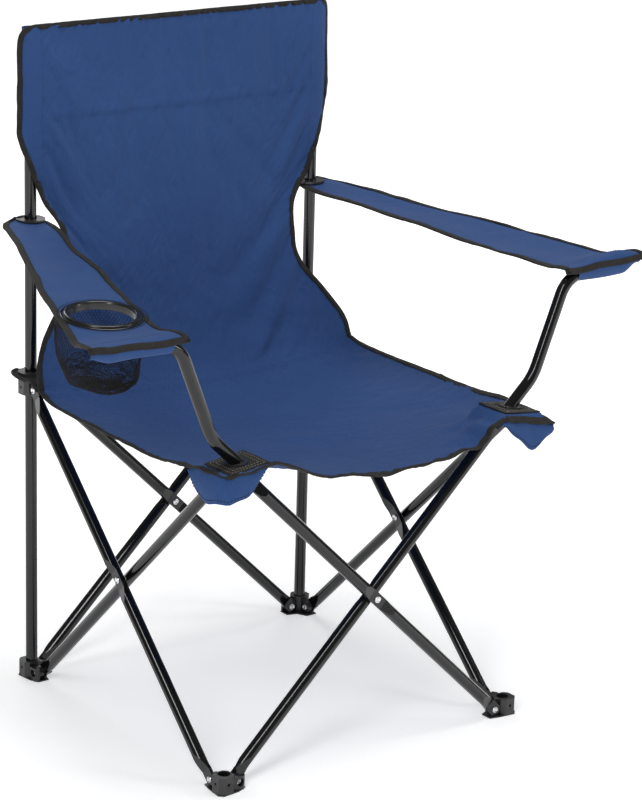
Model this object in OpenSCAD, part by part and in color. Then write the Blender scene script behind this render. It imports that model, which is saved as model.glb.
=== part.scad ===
// Folding camp chair: two upright back posts and eight crossed braces between
// four plastic feet and four plastic hubs, with slung fabric seat, back and armrests.
// The chair faces -Y. Its footprint is square, and every corner is the front left
// corner turned about the middle of the footprint.

/* [Frame] */
// Distance between the axes of two neighbouring feet
post_spacing = 430; // [400:5:460]
// Height of the lower brace pivots above the floor
foot_pivot_z = 10; // [10:0.5:12]
// Height of the upper brace pivots above the floor when open
hub_pivot_z = 389; // [370:1:405]
// Distance from a corner axis to a brace pivot
pivot_offset = 18; // [18:0.5:20]
// How far the frame's middle lies behind the origin
frame_y = 9; // [8:0.1:16]
// Height of the top of the back posts
post_top_z = 834; // [820:1:838]

/* [Tubes] */
// Outer diameter of every steel tube
tube_d = 15; // [14:0.5:15]
// Wall thickness of every steel tube
tube_wall = 1; // [0.8:0.1:1.5]
// Thickness of a flattened tube end
tab_t = 4; // [3:0.5:4]
// Diameter of the rivet shanks
rivet_d = 5; // [4:0.5:5]

/* [Plastic] */
// How far a foot or hub block reaches on its outer sides
block_out = 13.5; // [11:0.5:14]
// Thickness of the wings that hold the braces
wing_t = 7; // [6:0.5:7]
// Outer diameter of the collars on the back posts
collar_d = 37; // [32:1:38]
// How far a collar slides up its post
collar_travel = 25; // [10:1:30]

/* [Arms] */
// Half distance between the arm tubes where they leave the seat
arm_foot_x = 204; // [200:1:206]
// Lean of the lower arm tube from upright
arm_lean_low = 47; // [45:1:52]
// Lean of the middle of the arm tube from upright
arm_lean_mid = 21.7; // [15:0.1:25]
// Height of the armrest tube
arm_tube_z = 560; // [550:1:570]
// Distance of the arm tubes' ends from the middle
arm_tip_x = 372; // [360:1:400]

/* [Fabric] */
// Height of the top edge of the back
back_top_z = 845; // [842:1:850]
// Height of the seam between back and seat
crease_z = 403; // [400:1:410]
// Height of the seat at its corners
seat_corner_z = 404.5; // [403:0.5:407]
// How far the middle of the seat hangs below its corners
seat_sag = 34; // [20:1:50]
// Thickness of the fabric
cloth_t = 2.5; // [2:0.1:3]

/* [Cup holder] */
// Outer diameter of the cup ring
cup_ring_d = 96; // [90:1:98]
// Clear diameter of the cup ring
cup_hole_d = 76; // [72:1:80]
// Depth of the mesh bag below the armrest
cup_bag_depth = 92; // [60:1:100]

/* [Hidden] */
$fn = 48;

// Corner numbers, going round the chair seen from above
FRONT_LEFT = 0;
REAR_LEFT = 1;
REAR_RIGHT = 2;
FRONT_RIGHT = 3;

// Colours
steel_black = [0.05, 0.05, 0.055];
plastic_black = [0.09, 0.09, 0.095];
rivet_silver = [0.78, 0.78, 0.8];
cloth_blue = [0.16, 0.27, 0.48];
patch_grey = [0.17, 0.17, 0.16];
mesh_black = [0.06, 0.06, 0.07];

// Frame
half_span = post_spacing / 2;
front_y = frame_y - half_span;
rear_y = frame_y + half_span;
brace_run = post_spacing - 2 * pivot_offset;
brace_rise = hub_pivot_z - foot_pivot_z;
brace_len = sqrt(brace_run * brace_run + brace_rise * brace_rise);
brace_angle = atan2(brace_rise, brace_run);

// Braces: distances across the layers are measured from the plane of the wings
layer_gap = 0.15;
tab_y = wing_t / 2 + layer_gap;
tab_r = 8;
tab_len = 12;
tab_root = 30;
pinch_start = 11;
pinch_in = 0.3;
pinch_high = 38;
pinch_low = 42;
tube_gap = 0.4;
tube_y = tube_d / 2 + tube_gap;
mid_top = 10;
mid_half = 12;
mid_taper = 22;
void_start = 42;
void_margin = 4;
slice = 0.02;
eps = 1;
bore_clear = 0.05;

// Feet and hubs
foot_h = 22;
foot_floor = 3;
flange_h = 1.4;
block_in = 9.5;
block_chamfer = 5;
wing_r = 7.5;
peg_hole_d = 3.5;
peg_hole_deep = 2;
socket_clear = 0.1;
slide_clear = 0.3;
hub_half_h = 9;
front_hub_up = 7;

// Rivets
rivet_head_d = 8.4;
rivet_head_h = 1.8;
head_gap = 0.05;

// Arm tube, followed in the plane of the front wings from its lower end
arm_low_dir = [sin(arm_lean_low), cos(arm_lean_low)];
arm_mid_dir = [sin(arm_lean_mid), cos(arm_lean_mid)];
arm_foot = [arm_foot_x, seat_corner_z + 1];
arm_start_back = 5;
arm_knee = arm_foot + arm_low_dir * 49;
arm_shoulder = arm_knee + arm_mid_dir * ((arm_tube_z - arm_knee[1]) / arm_mid_dir[1]);
arm_knee_r = 62;
arm_shoulder_r = 36;
spigot_len = 27;
spigot_clear = 0.1;
boss_len = 2;

// Fabric
cloth_gap = 0.4;
patch_t = 1.2;
patch_tilt = 7;
pocket_d = tube_d + 2 * cloth_gap + 2;
back_split_z = 650;
back_y = rear_y - pocket_d / 2;
crease_y = rear_y - 61;
seat_front_y = front_y - 40;
seat_split_y = (crease_y + front_y) / 2;
seat_half_w = 248;
seat_post_x = 204;
arm_rear_z = 601;
arm_slope = atan2(arm_rear_z - arm_tube_z, post_spacing);
arm_split_y = rear_y - 176;
cup_x = 320;
cup_y = frame_y - 110;
ear_z = crease_z + 0.5;

// ---- placing ----

// A child drawn at a corner, with the front wing along +X and the side wing along +Y
module at_corner(corner) {
    translate([0, frame_y, 0])
        rotate([0, 0, -90 * corner])
            translate([-half_span, -half_span, 0])
                children();
}

// A child drawn on the right hand side, or mirrored to the left when side is -1
module on_side(side) {
    if (side < 0) {
        mirror([1, 0, 0]) children();
    } else {
        children();
    }
}

// ---- shared shapes ----

// One wing, a plate along +X that ends round the pivot
module wing(pivot_z) {
    rotate([90, 0, 0])
        linear_extrude(wing_t, center = true) {
            translate([pivot_offset, pivot_z])
                circle(r = wing_r);
            translate([0, pivot_z - wing_r])
                square([pivot_offset, 2 * wing_r]);
        }
}

// The hole for a rivet through a wing
module wing_bore(pivot_z) {
    translate([pivot_offset, 0, pivot_z])
        rotate([90, 0, 0])
            cylinder(d = rivet_d + 2 * bore_clear, h = wing_t + 2 * eps, center = true);
}

module both_wings(pivot_z) {
    wing(pivot_z);
    rotate([0, 0, 90]) wing(pivot_z);
}

module both_wing_bores(pivot_z) {
    wing_bore(pivot_z);
    rotate([0, 0, 90]) wing_bore(pivot_z);
}

// One rivet head: a rolled rim round a dished middle
module rivet_head() {
    r = rivet_head_d / 2;
    rotate_extrude()
        polygon([[0, 0], [r, 0], [r, 0.8], [r - 0.5, 1.5], [r - 1.2, rivet_head_h],
            [r - 1.8, 1.5], [r - 2.4, 0.7], [0, 0.7]]);
}

// A rivet along +Y, from one head's underside to the other's
module rivet(from_y, to_y) {
    translate([0, from_y, 0])
        rotate([-90, 0, 0])
            cylinder(d = rivet_d, h = to_y - from_y);
    translate([0, to_y, 0])
        rotate([-90, 0, 0]) rivet_head();
    translate([0, from_y, 0])
        rotate([90, 0, 0]) rivet_head();
}

// ---- feet and hubs ----

// The eight-sided block of a foot or hub, which reaches further on its outer sides
module block(height) {
    a = block_in;
    b = block_out;
    c = block_chamfer;
    linear_extrude(height)
        polygon([[a, a - c], [a - c, a], [c - b, a], [-b, a - c], [-b, c - b],
            [c - b, -b], [a - c, -b], [a, c - b]]);
}

// The thin plate that spreads a foot on the floor
module foot_flange() {
    linear_extrude(flange_h)
        polygon([[-14.5, -9], [-9, -14.5], [14, -12], [27, -6.5], [27, 9], [13, 13],
            [6.5, 27], [-9, 27], [-12, 14]]);
}

// Blind holes in the two outer faces of a block
module peg_holes(z) {
    translate([-2, -block_out - eps, z])
        rotate([-90, 0, 0]) cylinder(d = peg_hole_d, h = peg_hole_deep + eps);
    translate([-block_out - eps, -2, z])
        rotate([0, 90, 0]) cylinder(d = peg_hole_d, h = peg_hole_deep + eps);
}

// The thick outer cheek of a foot's front wing, cut away round the rivet's head
module foot_cheek() {
    cheek_w = 6;
    difference() {
        translate([0, wing_t / -2 - cheek_w, 0])
            linear_extrude(foot_pivot_z + wing_r)
                polygon([[0, 0], [22, 0], [26, 3], [26, cheek_w], [0, cheek_w]]);
        translate([pivot_offset, wing_t / -2, foot_pivot_z])
            rotate([90, 0, 0]) cylinder(d = rivet_head_d + 1.6, h = cheek_w + eps);
    }
}

module foot(corner) {
    color(plastic_black)
        at_corner(corner)
            difference() {
                union() {
                    block(foot_h);
                    foot_flange();
                    foot_cheek();
                    both_wings(foot_pivot_z);
                }
                peg_holes(foot_pivot_z + 3);
                translate([0, 0, foot_floor])
                    cylinder(d = tube_d + 2 * socket_clear, h = foot_h);
                both_wing_bores(foot_pivot_z);
            }
}

// A rear hub slides on its back post
module hub_rear(corner) {
    color(plastic_black)
        at_corner(corner)
            difference() {
                union() {
                    translate([0, 0, hub_pivot_z - hub_half_h]) block(2 * hub_half_h);
                    both_wings(hub_pivot_z);
                }
                peg_holes(hub_pivot_z);
                translate([0, 0, hub_pivot_z - hub_half_h - eps])
                    cylinder(d = tube_d + 2 * slide_clear, h = 2 * (hub_half_h + eps));
                both_wing_bores(hub_pivot_z);
            }
}

// A child drawn along the leaning lower arm tube, on the right hand side
module along_arm_foot(from = 0) {
    translate([arm_foot[0], front_y, arm_foot[1]])
        rotate([0, arm_lean_low, 0])
            translate([0, 0, from])
                children();
}

// The spigot that carries the arm tube, with its shoulder and the web under it
module arm_spigot() {
    along_arm_foot(-arm_start_back - boss_len)
        cylinder(d = tube_d, h = boss_len);
    along_arm_foot(-arm_start_back - boss_len)
        cylinder(d = tube_d - 2 * tube_wall - 2 * spigot_clear, h = boss_len + spigot_len);
    web_low = hub_pivot_z - wing_r;
    tube_end = arm_foot - arm_low_dir * arm_start_back;
    across = [arm_low_dir[1], -arm_low_dir[0]];
    below = tube_end + across * (tube_d / 2 + 0.3);
    translate([0, front_y + wing_t / 2, 0])
        rotate([90, 0, 0])
            linear_extrude(wing_t)
                polygon([[half_span - pivot_offset, web_low],
                    [half_span, web_low],
                    [half_span, below[1]],
                    below,
                    tube_end - arm_low_dir * 0.3,
                    tube_end - arm_low_dir * boss_len - across * 3,
                    [half_span - pivot_offset - 3, hub_pivot_z + wing_r]]);
}

// A front hub has no bore: the arm tube sits on its spigot
module hub_front(corner, side) {
    color(plastic_black) {
        difference() {
            union() {
                at_corner(corner) {
                    translate([0, 0, hub_pivot_z - hub_half_h])
                        block(hub_half_h + front_hub_up);
                    both_wings(hub_pivot_z);
                }
                on_side(side) arm_spigot();
            }
            at_corner(corner) {
                both_wing_bores(hub_pivot_z);
                peg_holes(hub_pivot_z);
            }
        }
    }
}

// ---- braces ----

// The hole for a rivet across a brace
module brace_bore(x) {
    translate([x, -eps, 0])
        rotate([-90, 0, 0])
            cylinder(d = rivet_d + 2 * bore_clear, h = tube_d + 2 * eps);
}

// The flat end of a brace, which narrows where it runs into the tube
module brace_tab() {
    rotate([-90, 0, 0])
        linear_extrude(tab_t) {
            circle(r = tab_r);
            polygon([[0, tab_r], [tab_len, tab_r], [tab_root, tab_r / 2],
                [tab_root, -tab_r / 2], [tab_len, -tab_r], [0, -tab_r]]);
        }
}

// The tube's side view: pinched at both ends, and flattened where two braces cross
module brace_side() {
    middle = brace_len / 2;
    low = -eps;
    high = tube_y + tube_d / 2 + eps;
    flat_from = middle - mid_half;
    linear_extrude(2 * tube_d, center = true)
        polygon([[pinch_start, tab_y + pinch_in], [pinch_start, tab_y + tab_t - pinch_in],
            [pinch_high, high], [flat_from - mid_taper, high], [flat_from, mid_top],
            [brace_len - flat_from, mid_top], [brace_len - flat_from + mid_taper, high],
            [brace_len - pinch_high, high], [brace_len - pinch_start, tab_y + tab_t - pinch_in],
            [brace_len - pinch_start, tab_y + pinch_in],
            [brace_len - pinch_low, low], [pinch_low, low]]);
}

// The closed hollow in one half of a brace
module brace_hollow(from) {
    length = brace_len / 2 - mid_half - mid_taper - void_margin - void_start;
    translate([from, tube_y, 0])
        rotate([0, 90, 0]) cylinder(d = tube_d - 2 * tube_wall, h = length);
}

// A brace rises from this corner's wing to the next corner along +X
module brace_shape() {
    translate([pivot_offset, 0, foot_pivot_z])
        rotate([0, -brace_angle, 0])
            difference() {
                union() {
                    intersection() {
                        translate([0, tube_y, 0])
                            rotate([0, 90, 0]) cylinder(d = tube_d, h = brace_len);
                        brace_side();
                    }
                    translate([0, tab_y, 0]) brace_tab();
                    translate([brace_len, tab_y, 0])
                        mirror([1, 0, 0]) brace_tab();
                }
                brace_hollow(void_start);
                brace_hollow(brace_len / 2 + mid_half + mid_taper + void_margin);
                brace_bore(0);
                brace_bore(brace_len / 2);
                brace_bore(brace_len);
            }
}

// An inner brace runs from a foot along its front wing, inside the wings
module brace_inner(corner) {
    color(steel_black) at_corner(corner) brace_shape();
}

// An outer brace runs from a foot along its side wing, outside the wings
module brace_outer(corner) {
    color(steel_black) at_corner(corner) rotate([0, 0, 90]) brace_shape();
}

// ---- rivets ----

// The two rivets of a foot: the front wing's brace is inside, the side wing's outside
module foot_rivets(corner) {
    near = -wing_t / 2 - head_gap;
    far = tab_y + tab_t + head_gap;
    color(rivet_silver)
        at_corner(corner) {
            translate([pivot_offset, 0, foot_pivot_z]) rivet(near, far);
            rotate([0, 0, 90])
                translate([pivot_offset, 0, foot_pivot_z]) rivet(near, far);
        }
}

// The two rivets of a hub: the front wing's brace is outside, the side wing's inside
module hub_rivets(corner) {
    near = -tab_y - tab_t - head_gap;
    far = wing_t / 2 + head_gap;
    color(rivet_silver)
        at_corner(corner) {
            translate([pivot_offset, 0, hub_pivot_z]) rivet(near, far);
            rotate([0, 0, 90])
                translate([pivot_offset, 0, hub_pivot_z]) rivet(near, far);
        }
}

// The rivet where the two braces of a side cross
module cross_rivet(corner) {
    reach = mid_top + head_gap;
    color(rivet_silver)
        at_corner(corner)
            translate([half_span, 0, (foot_pivot_z + hub_pivot_z) / 2]) rivet(-reach, reach);
}

// ---- back posts ----

module post(corner) {
    color(steel_black)
        at_corner(corner)
            translate([0, 0, foot_floor])
                difference() {
                    cylinder(d = tube_d, h = post_top_z - foot_floor);
                    translate([0, 0, -eps])
                        cylinder(d = tube_d - 2 * tube_wall, h = post_top_z);
                }
}

// A plug with a domed head closes the top of a post
module post_cap(corner) {
    plug_d = tube_d - 2 * tube_wall - 2 * spigot_clear;
    head_h = 4;
    color(plastic_black)
        at_corner(corner)
            translate([0, 0, post_top_z]) {
                translate([0, 0, -12]) cylinder(d = plug_d, h = 12 + slice);
                cylinder(d = tube_d, h = head_h);
            }
}

// ---- arm tubes ----

// A straight rod in the XZ plane, run on past each end
module flat_rod(from, to, d, before, after) {
    run = to - from;
    translate([from[0], 0, from[1]])
        rotate([0, atan2(run[0], run[1]), 0])
            translate([0, 0, -before])
                cylinder(d = d, h = norm(run) + before + after);
}

// A bend in the XZ plane, from a point where the rod arrives, turning to a new lean
module flat_bend(start, lean_in, lean_out, radius, d) {
    turn = lean_out - lean_in;
    hand = sign(turn);
    centre = start + hand * radius * [cos(lean_in), -sin(lean_in)];
    from_angle = turn > 0 ? 180 - lean_out : -lean_in;
    translate([centre[0], 0, centre[1]])
        rotate([90, 0, 0])
            rotate([0, 0, from_angle])
                rotate_extrude(angle = abs(turn)) translate([radius, 0]) circle(d = d);
}

// The arm tube leans out of the seat, rises, then runs level into the armrest.
// Bends are a hair thicker than the straight lengths, which run a little way into them.
module arm_path(d, extra = 0) {
    lap = 1;
    bend_d = d + 0.06;
    knee_cut = arm_knee_r * tan((arm_lean_low - arm_lean_mid) / 2);
    shoulder_cut = arm_shoulder_r * tan((90 - arm_lean_mid) / 2);
    knee_in = arm_knee - arm_low_dir * knee_cut;
    knee_out = arm_knee + arm_mid_dir * knee_cut;
    shoulder_in = arm_shoulder - arm_mid_dir * shoulder_cut;
    shoulder_out = arm_shoulder + [shoulder_cut, 0];
    flat_rod(arm_foot - arm_low_dir * arm_start_back, knee_in, d, extra, lap);
    flat_bend(knee_in, arm_lean_low, arm_lean_mid, arm_knee_r, bend_d);
    flat_rod(knee_out, shoulder_in, d, lap, lap);
    flat_bend(shoulder_in, arm_lean_mid, 90, arm_shoulder_r, bend_d);
    flat_rod(shoulder_out, [arm_tip_x, arm_tube_z], d, lap, extra);
}

module arm_post(side) {
    color(steel_black)
        on_side(side)
            translate([0, front_y, 0])
                difference() {
                    arm_path(tube_d);
                    arm_path(tube_d - 2 * tube_wall, eps);
                }
}

// A plug in the outer end of an arm tube
module arm_cap(side) {
    plug_d = tube_d - 2 * tube_wall - 2 * spigot_clear;
    color(plastic_black)
        on_side(side)
            translate([arm_tip_x, front_y, arm_tube_z])
                rotate([0, 90, 0]) {
                    translate([0, 0, -12]) cylinder(d = plug_d, h = 12 + slice);
                    cylinder(d = tube_d, h = 2.5);
                }
}

// ---- fittings on the fabric ----

// A collar slides on a back post and carries the rear end of an armrest
module collar(corner) {
    rim_h = 2.5;
    sleeve_d = 21;
    sleeve_h = 9;
    color(plastic_black)
        at_corner(corner)
            translate([0, 0, arm_rear_z + cloth_t / 2 + cloth_gap])
                difference() {
                    union() {
                        cylinder(d = collar_d, h = rim_h);
                        translate([0, 0, -sleeve_h]) cylinder(d = sleeve_d, h = sleeve_h + rim_h);
                    }
                    translate([0, 0, -sleeve_h - eps])
                        cylinder(d = tube_d + 2 * slide_clear, h = sleeve_h + rim_h + 2 * eps);
                }
}

// The hole that an arm tube needs through the fabric
module arm_hole(d) {
    along_arm_foot(-40) cylinder(d = d, h = 80);
}

// A child drawn on the seat round the right arm tube, where the seat falls away outwards
module on_patch() {
    translate([arm_foot_x, front_y, seat_corner_z + 0.2])
        rotate([0, patch_tilt, 0])
            children();
}

// A reinforcing patch on a front corner of the seat, square to the corner
module corner_patch(side) {
    patch_w = 54;
    color(patch_grey)
        on_side(side)
            difference() {
                on_patch()
                    linear_extrude(patch_t)
                        square([patch_w, patch_w], center = true);
                arm_hole(tube_d + 3);
            }
}

// The ring round the arm tube on top of the patch
module grommet(side) {
    grommet_d = 28;
    color(plastic_black)
        on_side(side)
            difference() {
                on_patch()
                    translate([1, 0, patch_t + slice]) cylinder(d = grommet_d, h = 1.6);
                arm_hole(tube_d + 0.6);
            }
}

// A hem of fabric that hangs round the outside of a front corner
module corner_flap(side) {
    flap_low = 374;
    flap_h = seat_corner_z - cloth_t - 6 - flap_low;
    reach = 42;
    bend_r = 30;
    leg = 46;
    color(cloth_blue)
        on_side(side)
            translate([half_span, front_y, flap_low]) {
                translate([reach - bend_r, bend_r - reach, 0])
                    rotate([0, 0, -90])
                        rotate_extrude(angle = 90)
                            translate([bend_r - cloth_t, 0]) square([cloth_t, flap_h]);
                translate([-leg, -reach, 0]) cube([leg + reach - bend_r, cloth_t, flap_h]);
                translate([reach - cloth_t, bend_r - reach, 0])
                    cube([cloth_t, leg + reach - bend_r, flap_h]);
            }
}

// The strip of fabric from a rear corner of the seat to the back post
module seat_ear(side) {
    ear_r = 24;
    seat_w = 30;
    color(patch_grey)
        on_side(side)
            translate([0, 0, ear_z])
                linear_extrude(cloth_t)
                    difference() {
                        union() {
                            translate([half_span, rear_y]) circle(r = ear_r);
                            polygon([[half_span - ear_r, rear_y],
                                [seat_half_w - 7 - seat_w, crease_y + 2],
                                [seat_half_w - 7, crease_y + 2],
                                [half_span + ear_r, rear_y]]);
                        }
                        translate([half_span, rear_y]) circle(d = tube_d + 2);
                    }
}

// The ring round the back post on top of the ear
module ear_ring(side) {
    ring_d = 32;
    color(plastic_black)
        on_side(side)
            translate([half_span, rear_y, ear_z + cloth_t + 0.1])
                difference() {
                    cylinder(d = ring_d, h = 3);
                    translate([0, 0, -eps])
                        cylinder(d = tube_d + 2 * slide_clear, h = 3 + 2 * eps);
                }
}

// ---- fabric ----

// Half of the back's outline seen from the front, from the top down: half width and height
BACK_EDGE = [[214, back_top_z], [228, back_top_z - 5], [233, back_top_z - 19], [234, 780],
    [235, 735], [231, 700], [219, 664], [204, 625], [186, 603], [177, 585], [175, 565],
    [178, 520], [190, 497], [203, 480], [226, 450], [239, 425], [241, crease_z],
    [160, crease_z - 10], [70, crease_z - 17]];

// The back's shape seen from the side: how far in front of the pocket plane, and height
BACK_SIDE = [[0, back_top_z], [0, back_split_z], [4, 572], [12, 510], [26, 462],
    [back_y - crease_y, crease_z], [back_y - crease_y, crease_z - 17]];

function mirrored(points) = [for (i = [len(points) - 1 : -1 : 0]) [-points[i][0], points[i][1]]];

module back_outline() {
    linear_extrude(400, center = true)
        polygon(concat(BACK_EDGE, mirrored(BACK_EDGE)));
}

// The back sheet between two heights
module back_sheet(low, high) {
    front = [for (p = BACK_SIDE) [back_y - p[0] - cloth_t, p[1]]];
    behind = [for (i = [len(BACK_SIDE) - 1 : -1 : 0]) [back_y - BACK_SIDE[i][0], BACK_SIDE[i][1]]];
    intersection() {
        translate([0, back_y, 0]) rotate([90, 0, 0]) back_outline();
        rotate([90, 0, 90])
            linear_extrude(2 * seat_half_w, center = true) polygon(concat(front, behind));
        translate([-seat_half_w, back_y - 100, low])
            cube([2 * seat_half_w, 200, high - low]);
    }
}

// The upper back, with a closed pocket for each post
module back_upper() {
    pocket_low = 668;
    color(cloth_blue) {
        difference() {
            union() {
                back_sheet(back_split_z, back_top_z);
                for (side = [-1, 1])
                    translate([side * half_span, rear_y, pocket_low])
                        cylinder(d = pocket_d, h = back_top_z - pocket_low);
                for (side = [-1, 1])
                    translate([side * half_span - 6, back_y - cloth_t, pocket_low])
                        cube([12, cloth_t + 3, back_top_z - pocket_low]);
            }
            for (side = [-1, 1])
                translate([side * half_span, rear_y, pocket_low - eps])
                    cylinder(d = tube_d + 2 * cloth_gap, h = post_top_z + 5 - pocket_low + eps);
        }
    }
}

module back_lower() {
    color(cloth_blue) back_sheet(crease_z - 20, back_split_z);
}

// Height of the seat across its width
function seat_z(x) = seat_corner_z - seat_sag * (1 - pow(min(1, abs(x) / seat_post_x), 2.6))
    - 7 * max(0, (abs(x) - seat_post_x) / (seat_half_w - seat_post_x));

// The seat's profile across its width, as an endless trough
module seat_trough() {
    step = seat_half_w / 16;
    top = [for (i = [-16 : 16]) [i * step, seat_z(i * step)]];
    under = [for (i = [16 : -1 : -16]) [i * step, seat_z(i * step) - cloth_t]];
    translate([0, 300, 0])
        rotate([90, 0, 0])
            linear_extrude(600) polygon(concat(top, under));
}

// Half of the seat's outline seen from above, from the back forward
SEAT_EDGE = [[241, crease_y], [246, frame_y + 60], [seat_half_w, frame_y - 60],
    [243, front_y + 30], [244, front_y - 20], [240, front_y - 34], [228, front_y - 36],
    [165, front_y - 30], [110, front_y - 38], [55, seat_front_y]];

// The seat between two depths
module seat_sheet(near, far) {
    intersection() {
        seat_trough();
        translate([0, 0, 300])
            linear_extrude(200) polygon(concat(SEAT_EDGE, mirrored(SEAT_EDGE)));
        translate([-seat_half_w - 1, near, 300])
            cube([2 * seat_half_w + 2, far - near, 200]);
    }
}

module seat_rear() {
    color(cloth_blue) seat_sheet(seat_split_y, crease_y - cloth_t - cloth_gap);
}

module seat_front() {
    color(cloth_blue)
        difference() {
            seat_sheet(seat_front_y, seat_split_y);
            arm_hole(tube_d + 9);
            mirror([1, 0, 0]) arm_hole(tube_d + 9);
        }
}

// The armrest's outline seen from above, inner edge then outer edge
ARM_EDGE = [[200, rear_y + 14], [199, rear_y - 40], [222, rear_y - 115], [238, frame_y + 21],
    [255, frame_y - 47], [273, frame_y - 121], [283, front_y + 35], [281, front_y - 6],
    [345, front_y - 9], [408, front_y - 7], [403, front_y + 25], [382, frame_y - 130],
    [345, frame_y - 26], [300, frame_y + 89], [262, rear_y - 10], [234, rear_y + 15]];

function arm_z(y) = arm_rear_z + (y - rear_y) * tan(arm_slope);

// The armrest's shape seen from the side: it slopes, then lies level under the collar
ARM_SIDE = [[front_y - 12, arm_z(front_y - 12)], [rear_y - 60, arm_z(rear_y - 60)],
    [rear_y - 19, arm_rear_z], [rear_y + 20, arm_rear_z]];

// The armrest between two depths, on the right hand side
module arm_sheet(near, far) {
    above = [for (p = ARM_SIDE) p + [0, cloth_t / 2]];
    below = [for (i = [len(ARM_SIDE) - 1 : -1 : 0]) ARM_SIDE[i] - [0, cloth_t / 2]];
    intersection() {
        translate([180, 0, 0])
            rotate([90, 0, 90])
                linear_extrude(260) polygon(concat(above, below));
        translate([0, 0, 500])
            linear_extrude(150) polygon(ARM_EDGE);
        translate([180, near, 500]) cube([260, far - near, 150]);
    }
}

module arm_rear(side) {
    color(cloth_blue)
        on_side(side)
            difference() {
                arm_sheet(arm_split_y, rear_y + 20);
                translate([half_span, rear_y, 500])
                    cylinder(d = 22.5, h = 150);
            }
}

// The front of the armrest, with the sleeve that the arm tube's level end sits in
module arm_front(side) {
    sleeve_d = tube_d + 2 * cloth_gap + 2;
    sleeve_from = 314;
    has_cup = side < 0;
    color(cloth_blue)
        on_side(side)
            difference() {
                union() {
                    arm_sheet(front_y - 10, arm_split_y);
                    translate([sleeve_from, front_y, arm_tube_z])
                        rotate([0, 90, 0]) cylinder(d = sleeve_d, h = arm_tip_x + 3.5 - sleeve_from);
                }
                translate([arm_shoulder[0] - 40, front_y, arm_tube_z])
                    rotate([0, 90, 0])
                        cylinder(d = tube_d + 2 * cloth_gap, h = arm_tip_x + 3 - arm_shoulder[0] + 40);
                translate([260, front_y - 10, arm_tube_z - 40])
                    cube([sleeve_from - 260, 19, 80]);
                if (has_cup)
                    translate([cup_x, cup_y, 500])
                        cylinder(d = cup_ring_d - 12, h = 150);
            }
}

// A child drawn in the cup holder's own place and tilt, on the left hand side
module at_cup() {
    translate([-cup_x, cup_y, arm_z(cup_y) + cloth_t / 2])
        rotate([arm_slope, 0, 0]) children();
}

// The cup ring: a rounded lip on the fabric and a sleeve that goes through it
module cup_ring() {
    lip_h = 3.8;
    lip_w = 6.6;
    rim_low = 0.3;
    rim_h = 1.2;
    sleeve_h = 6;
    sleeve_t = 2.5;
    bore_h = 1.5;
    rim_r = cup_ring_d / 2;
    hole_r = cup_hole_d / 2;
    lip = [for (a = [15 : 15 : 150])
        [hole_r + lip_w / 2 + cos(a) * lip_w / 2, bore_h + sin(a) * (lip_h - bore_h)]];
    color(plastic_black)
        at_cup()
            rotate_extrude($fn = 72)
                polygon(concat([[hole_r + sleeve_t, -sleeve_h], [hole_r + sleeve_t, rim_low],
                    [rim_r, rim_low], [rim_r, rim_low + rim_h - 0.4], [rim_r - 0.6, rim_low + rim_h],
                    [hole_r + lip_w, rim_low + rim_h]], lip, [[hole_r, bore_h], [hole_r, -sleeve_h]]));
}

// The mesh bag: a thin cup that narrows to a rounded floor
module cup_bag() {
    top_r = cup_hole_d / 2 + 19;
    floor_r = 44;
    wall = 2;
    top_z = -cloth_t - 0.3;
    drop = -cup_bag_depth;
    outer = [[0, drop], [floor_r - 12, drop], [floor_r - 3, drop + 5], [floor_r, drop + 15],
        [top_r - 2, drop + 45], [top_r, top_z]];
    inner = [[top_r - wall, top_z], [top_r - 2 - wall, drop + 45], [floor_r - wall, drop + 16],
        [floor_r - 5, drop + 7], [floor_r - 12, drop + wall], [0, drop + wall]];
    color(mesh_black)
        at_cup()
            rotate_extrude($fn = 72) polygon(concat(outer, inner));
}

foot(FRONT_LEFT);  // foot_front_left
foot(REAR_LEFT);  // foot_rear_left
foot(REAR_RIGHT);  // foot_rear_right
foot(FRONT_RIGHT);  // foot_front_right
hub_front(FRONT_LEFT, -1);  // hub_front_left
hub_rear(REAR_LEFT);  // hub_rear_left
hub_rear(REAR_RIGHT);  // hub_rear_right
hub_front(FRONT_RIGHT, 1);  // hub_front_right
brace_inner(FRONT_LEFT);  // brace_front_inner
brace_inner(REAR_LEFT);  // brace_left_inner
brace_inner(REAR_RIGHT);  // brace_back_inner
brace_inner(FRONT_RIGHT);  // brace_right_inner
brace_outer(FRONT_LEFT);  // brace_left_outer
brace_outer(REAR_LEFT);  // brace_back_outer
brace_outer(REAR_RIGHT);  // brace_right_outer
brace_outer(FRONT_RIGHT);  // brace_front_outer
post(REAR_LEFT);  // post_left
post(REAR_RIGHT);  // post_right
post_cap(REAR_LEFT);  // post_cap_left
post_cap(REAR_RIGHT);  // post_cap_right
foot_rivets(FRONT_LEFT);  // foot_rivets_front_left
foot_rivets(REAR_LEFT);  // foot_rivets_rear_left
foot_rivets(REAR_RIGHT);  // foot_rivets_rear_right
foot_rivets(FRONT_RIGHT);  // foot_rivets_front_right
hub_rivets(FRONT_LEFT);  // hub_rivets_front_left
hub_rivets(REAR_LEFT);  // hub_rivets_rear_left
hub_rivets(REAR_RIGHT);  // hub_rivets_rear_right
hub_rivets(FRONT_RIGHT);  // hub_rivets_front_right
cross_rivet(FRONT_LEFT);  // cross_rivet_front
cross_rivet(REAR_LEFT);  // cross_rivet_left
cross_rivet(REAR_RIGHT);  // cross_rivet_back
cross_rivet(FRONT_RIGHT);  // cross_rivet_right
arm_post(-1);  // arm_post_left
arm_post(1);  // arm_post_right
arm_cap(-1);  // arm_cap_left
arm_cap(1);  // arm_cap_right
collar(REAR_LEFT);  // collar_left
collar(REAR_RIGHT);  // collar_right
grommet(-1);  // grommet_left
grommet(1);  // grommet_right
corner_patch(-1);  // corner_patch_left
corner_patch(1);  // corner_patch_right
corner_flap(-1);  // corner_flap_left
corner_flap(1);  // corner_flap_right
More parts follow.
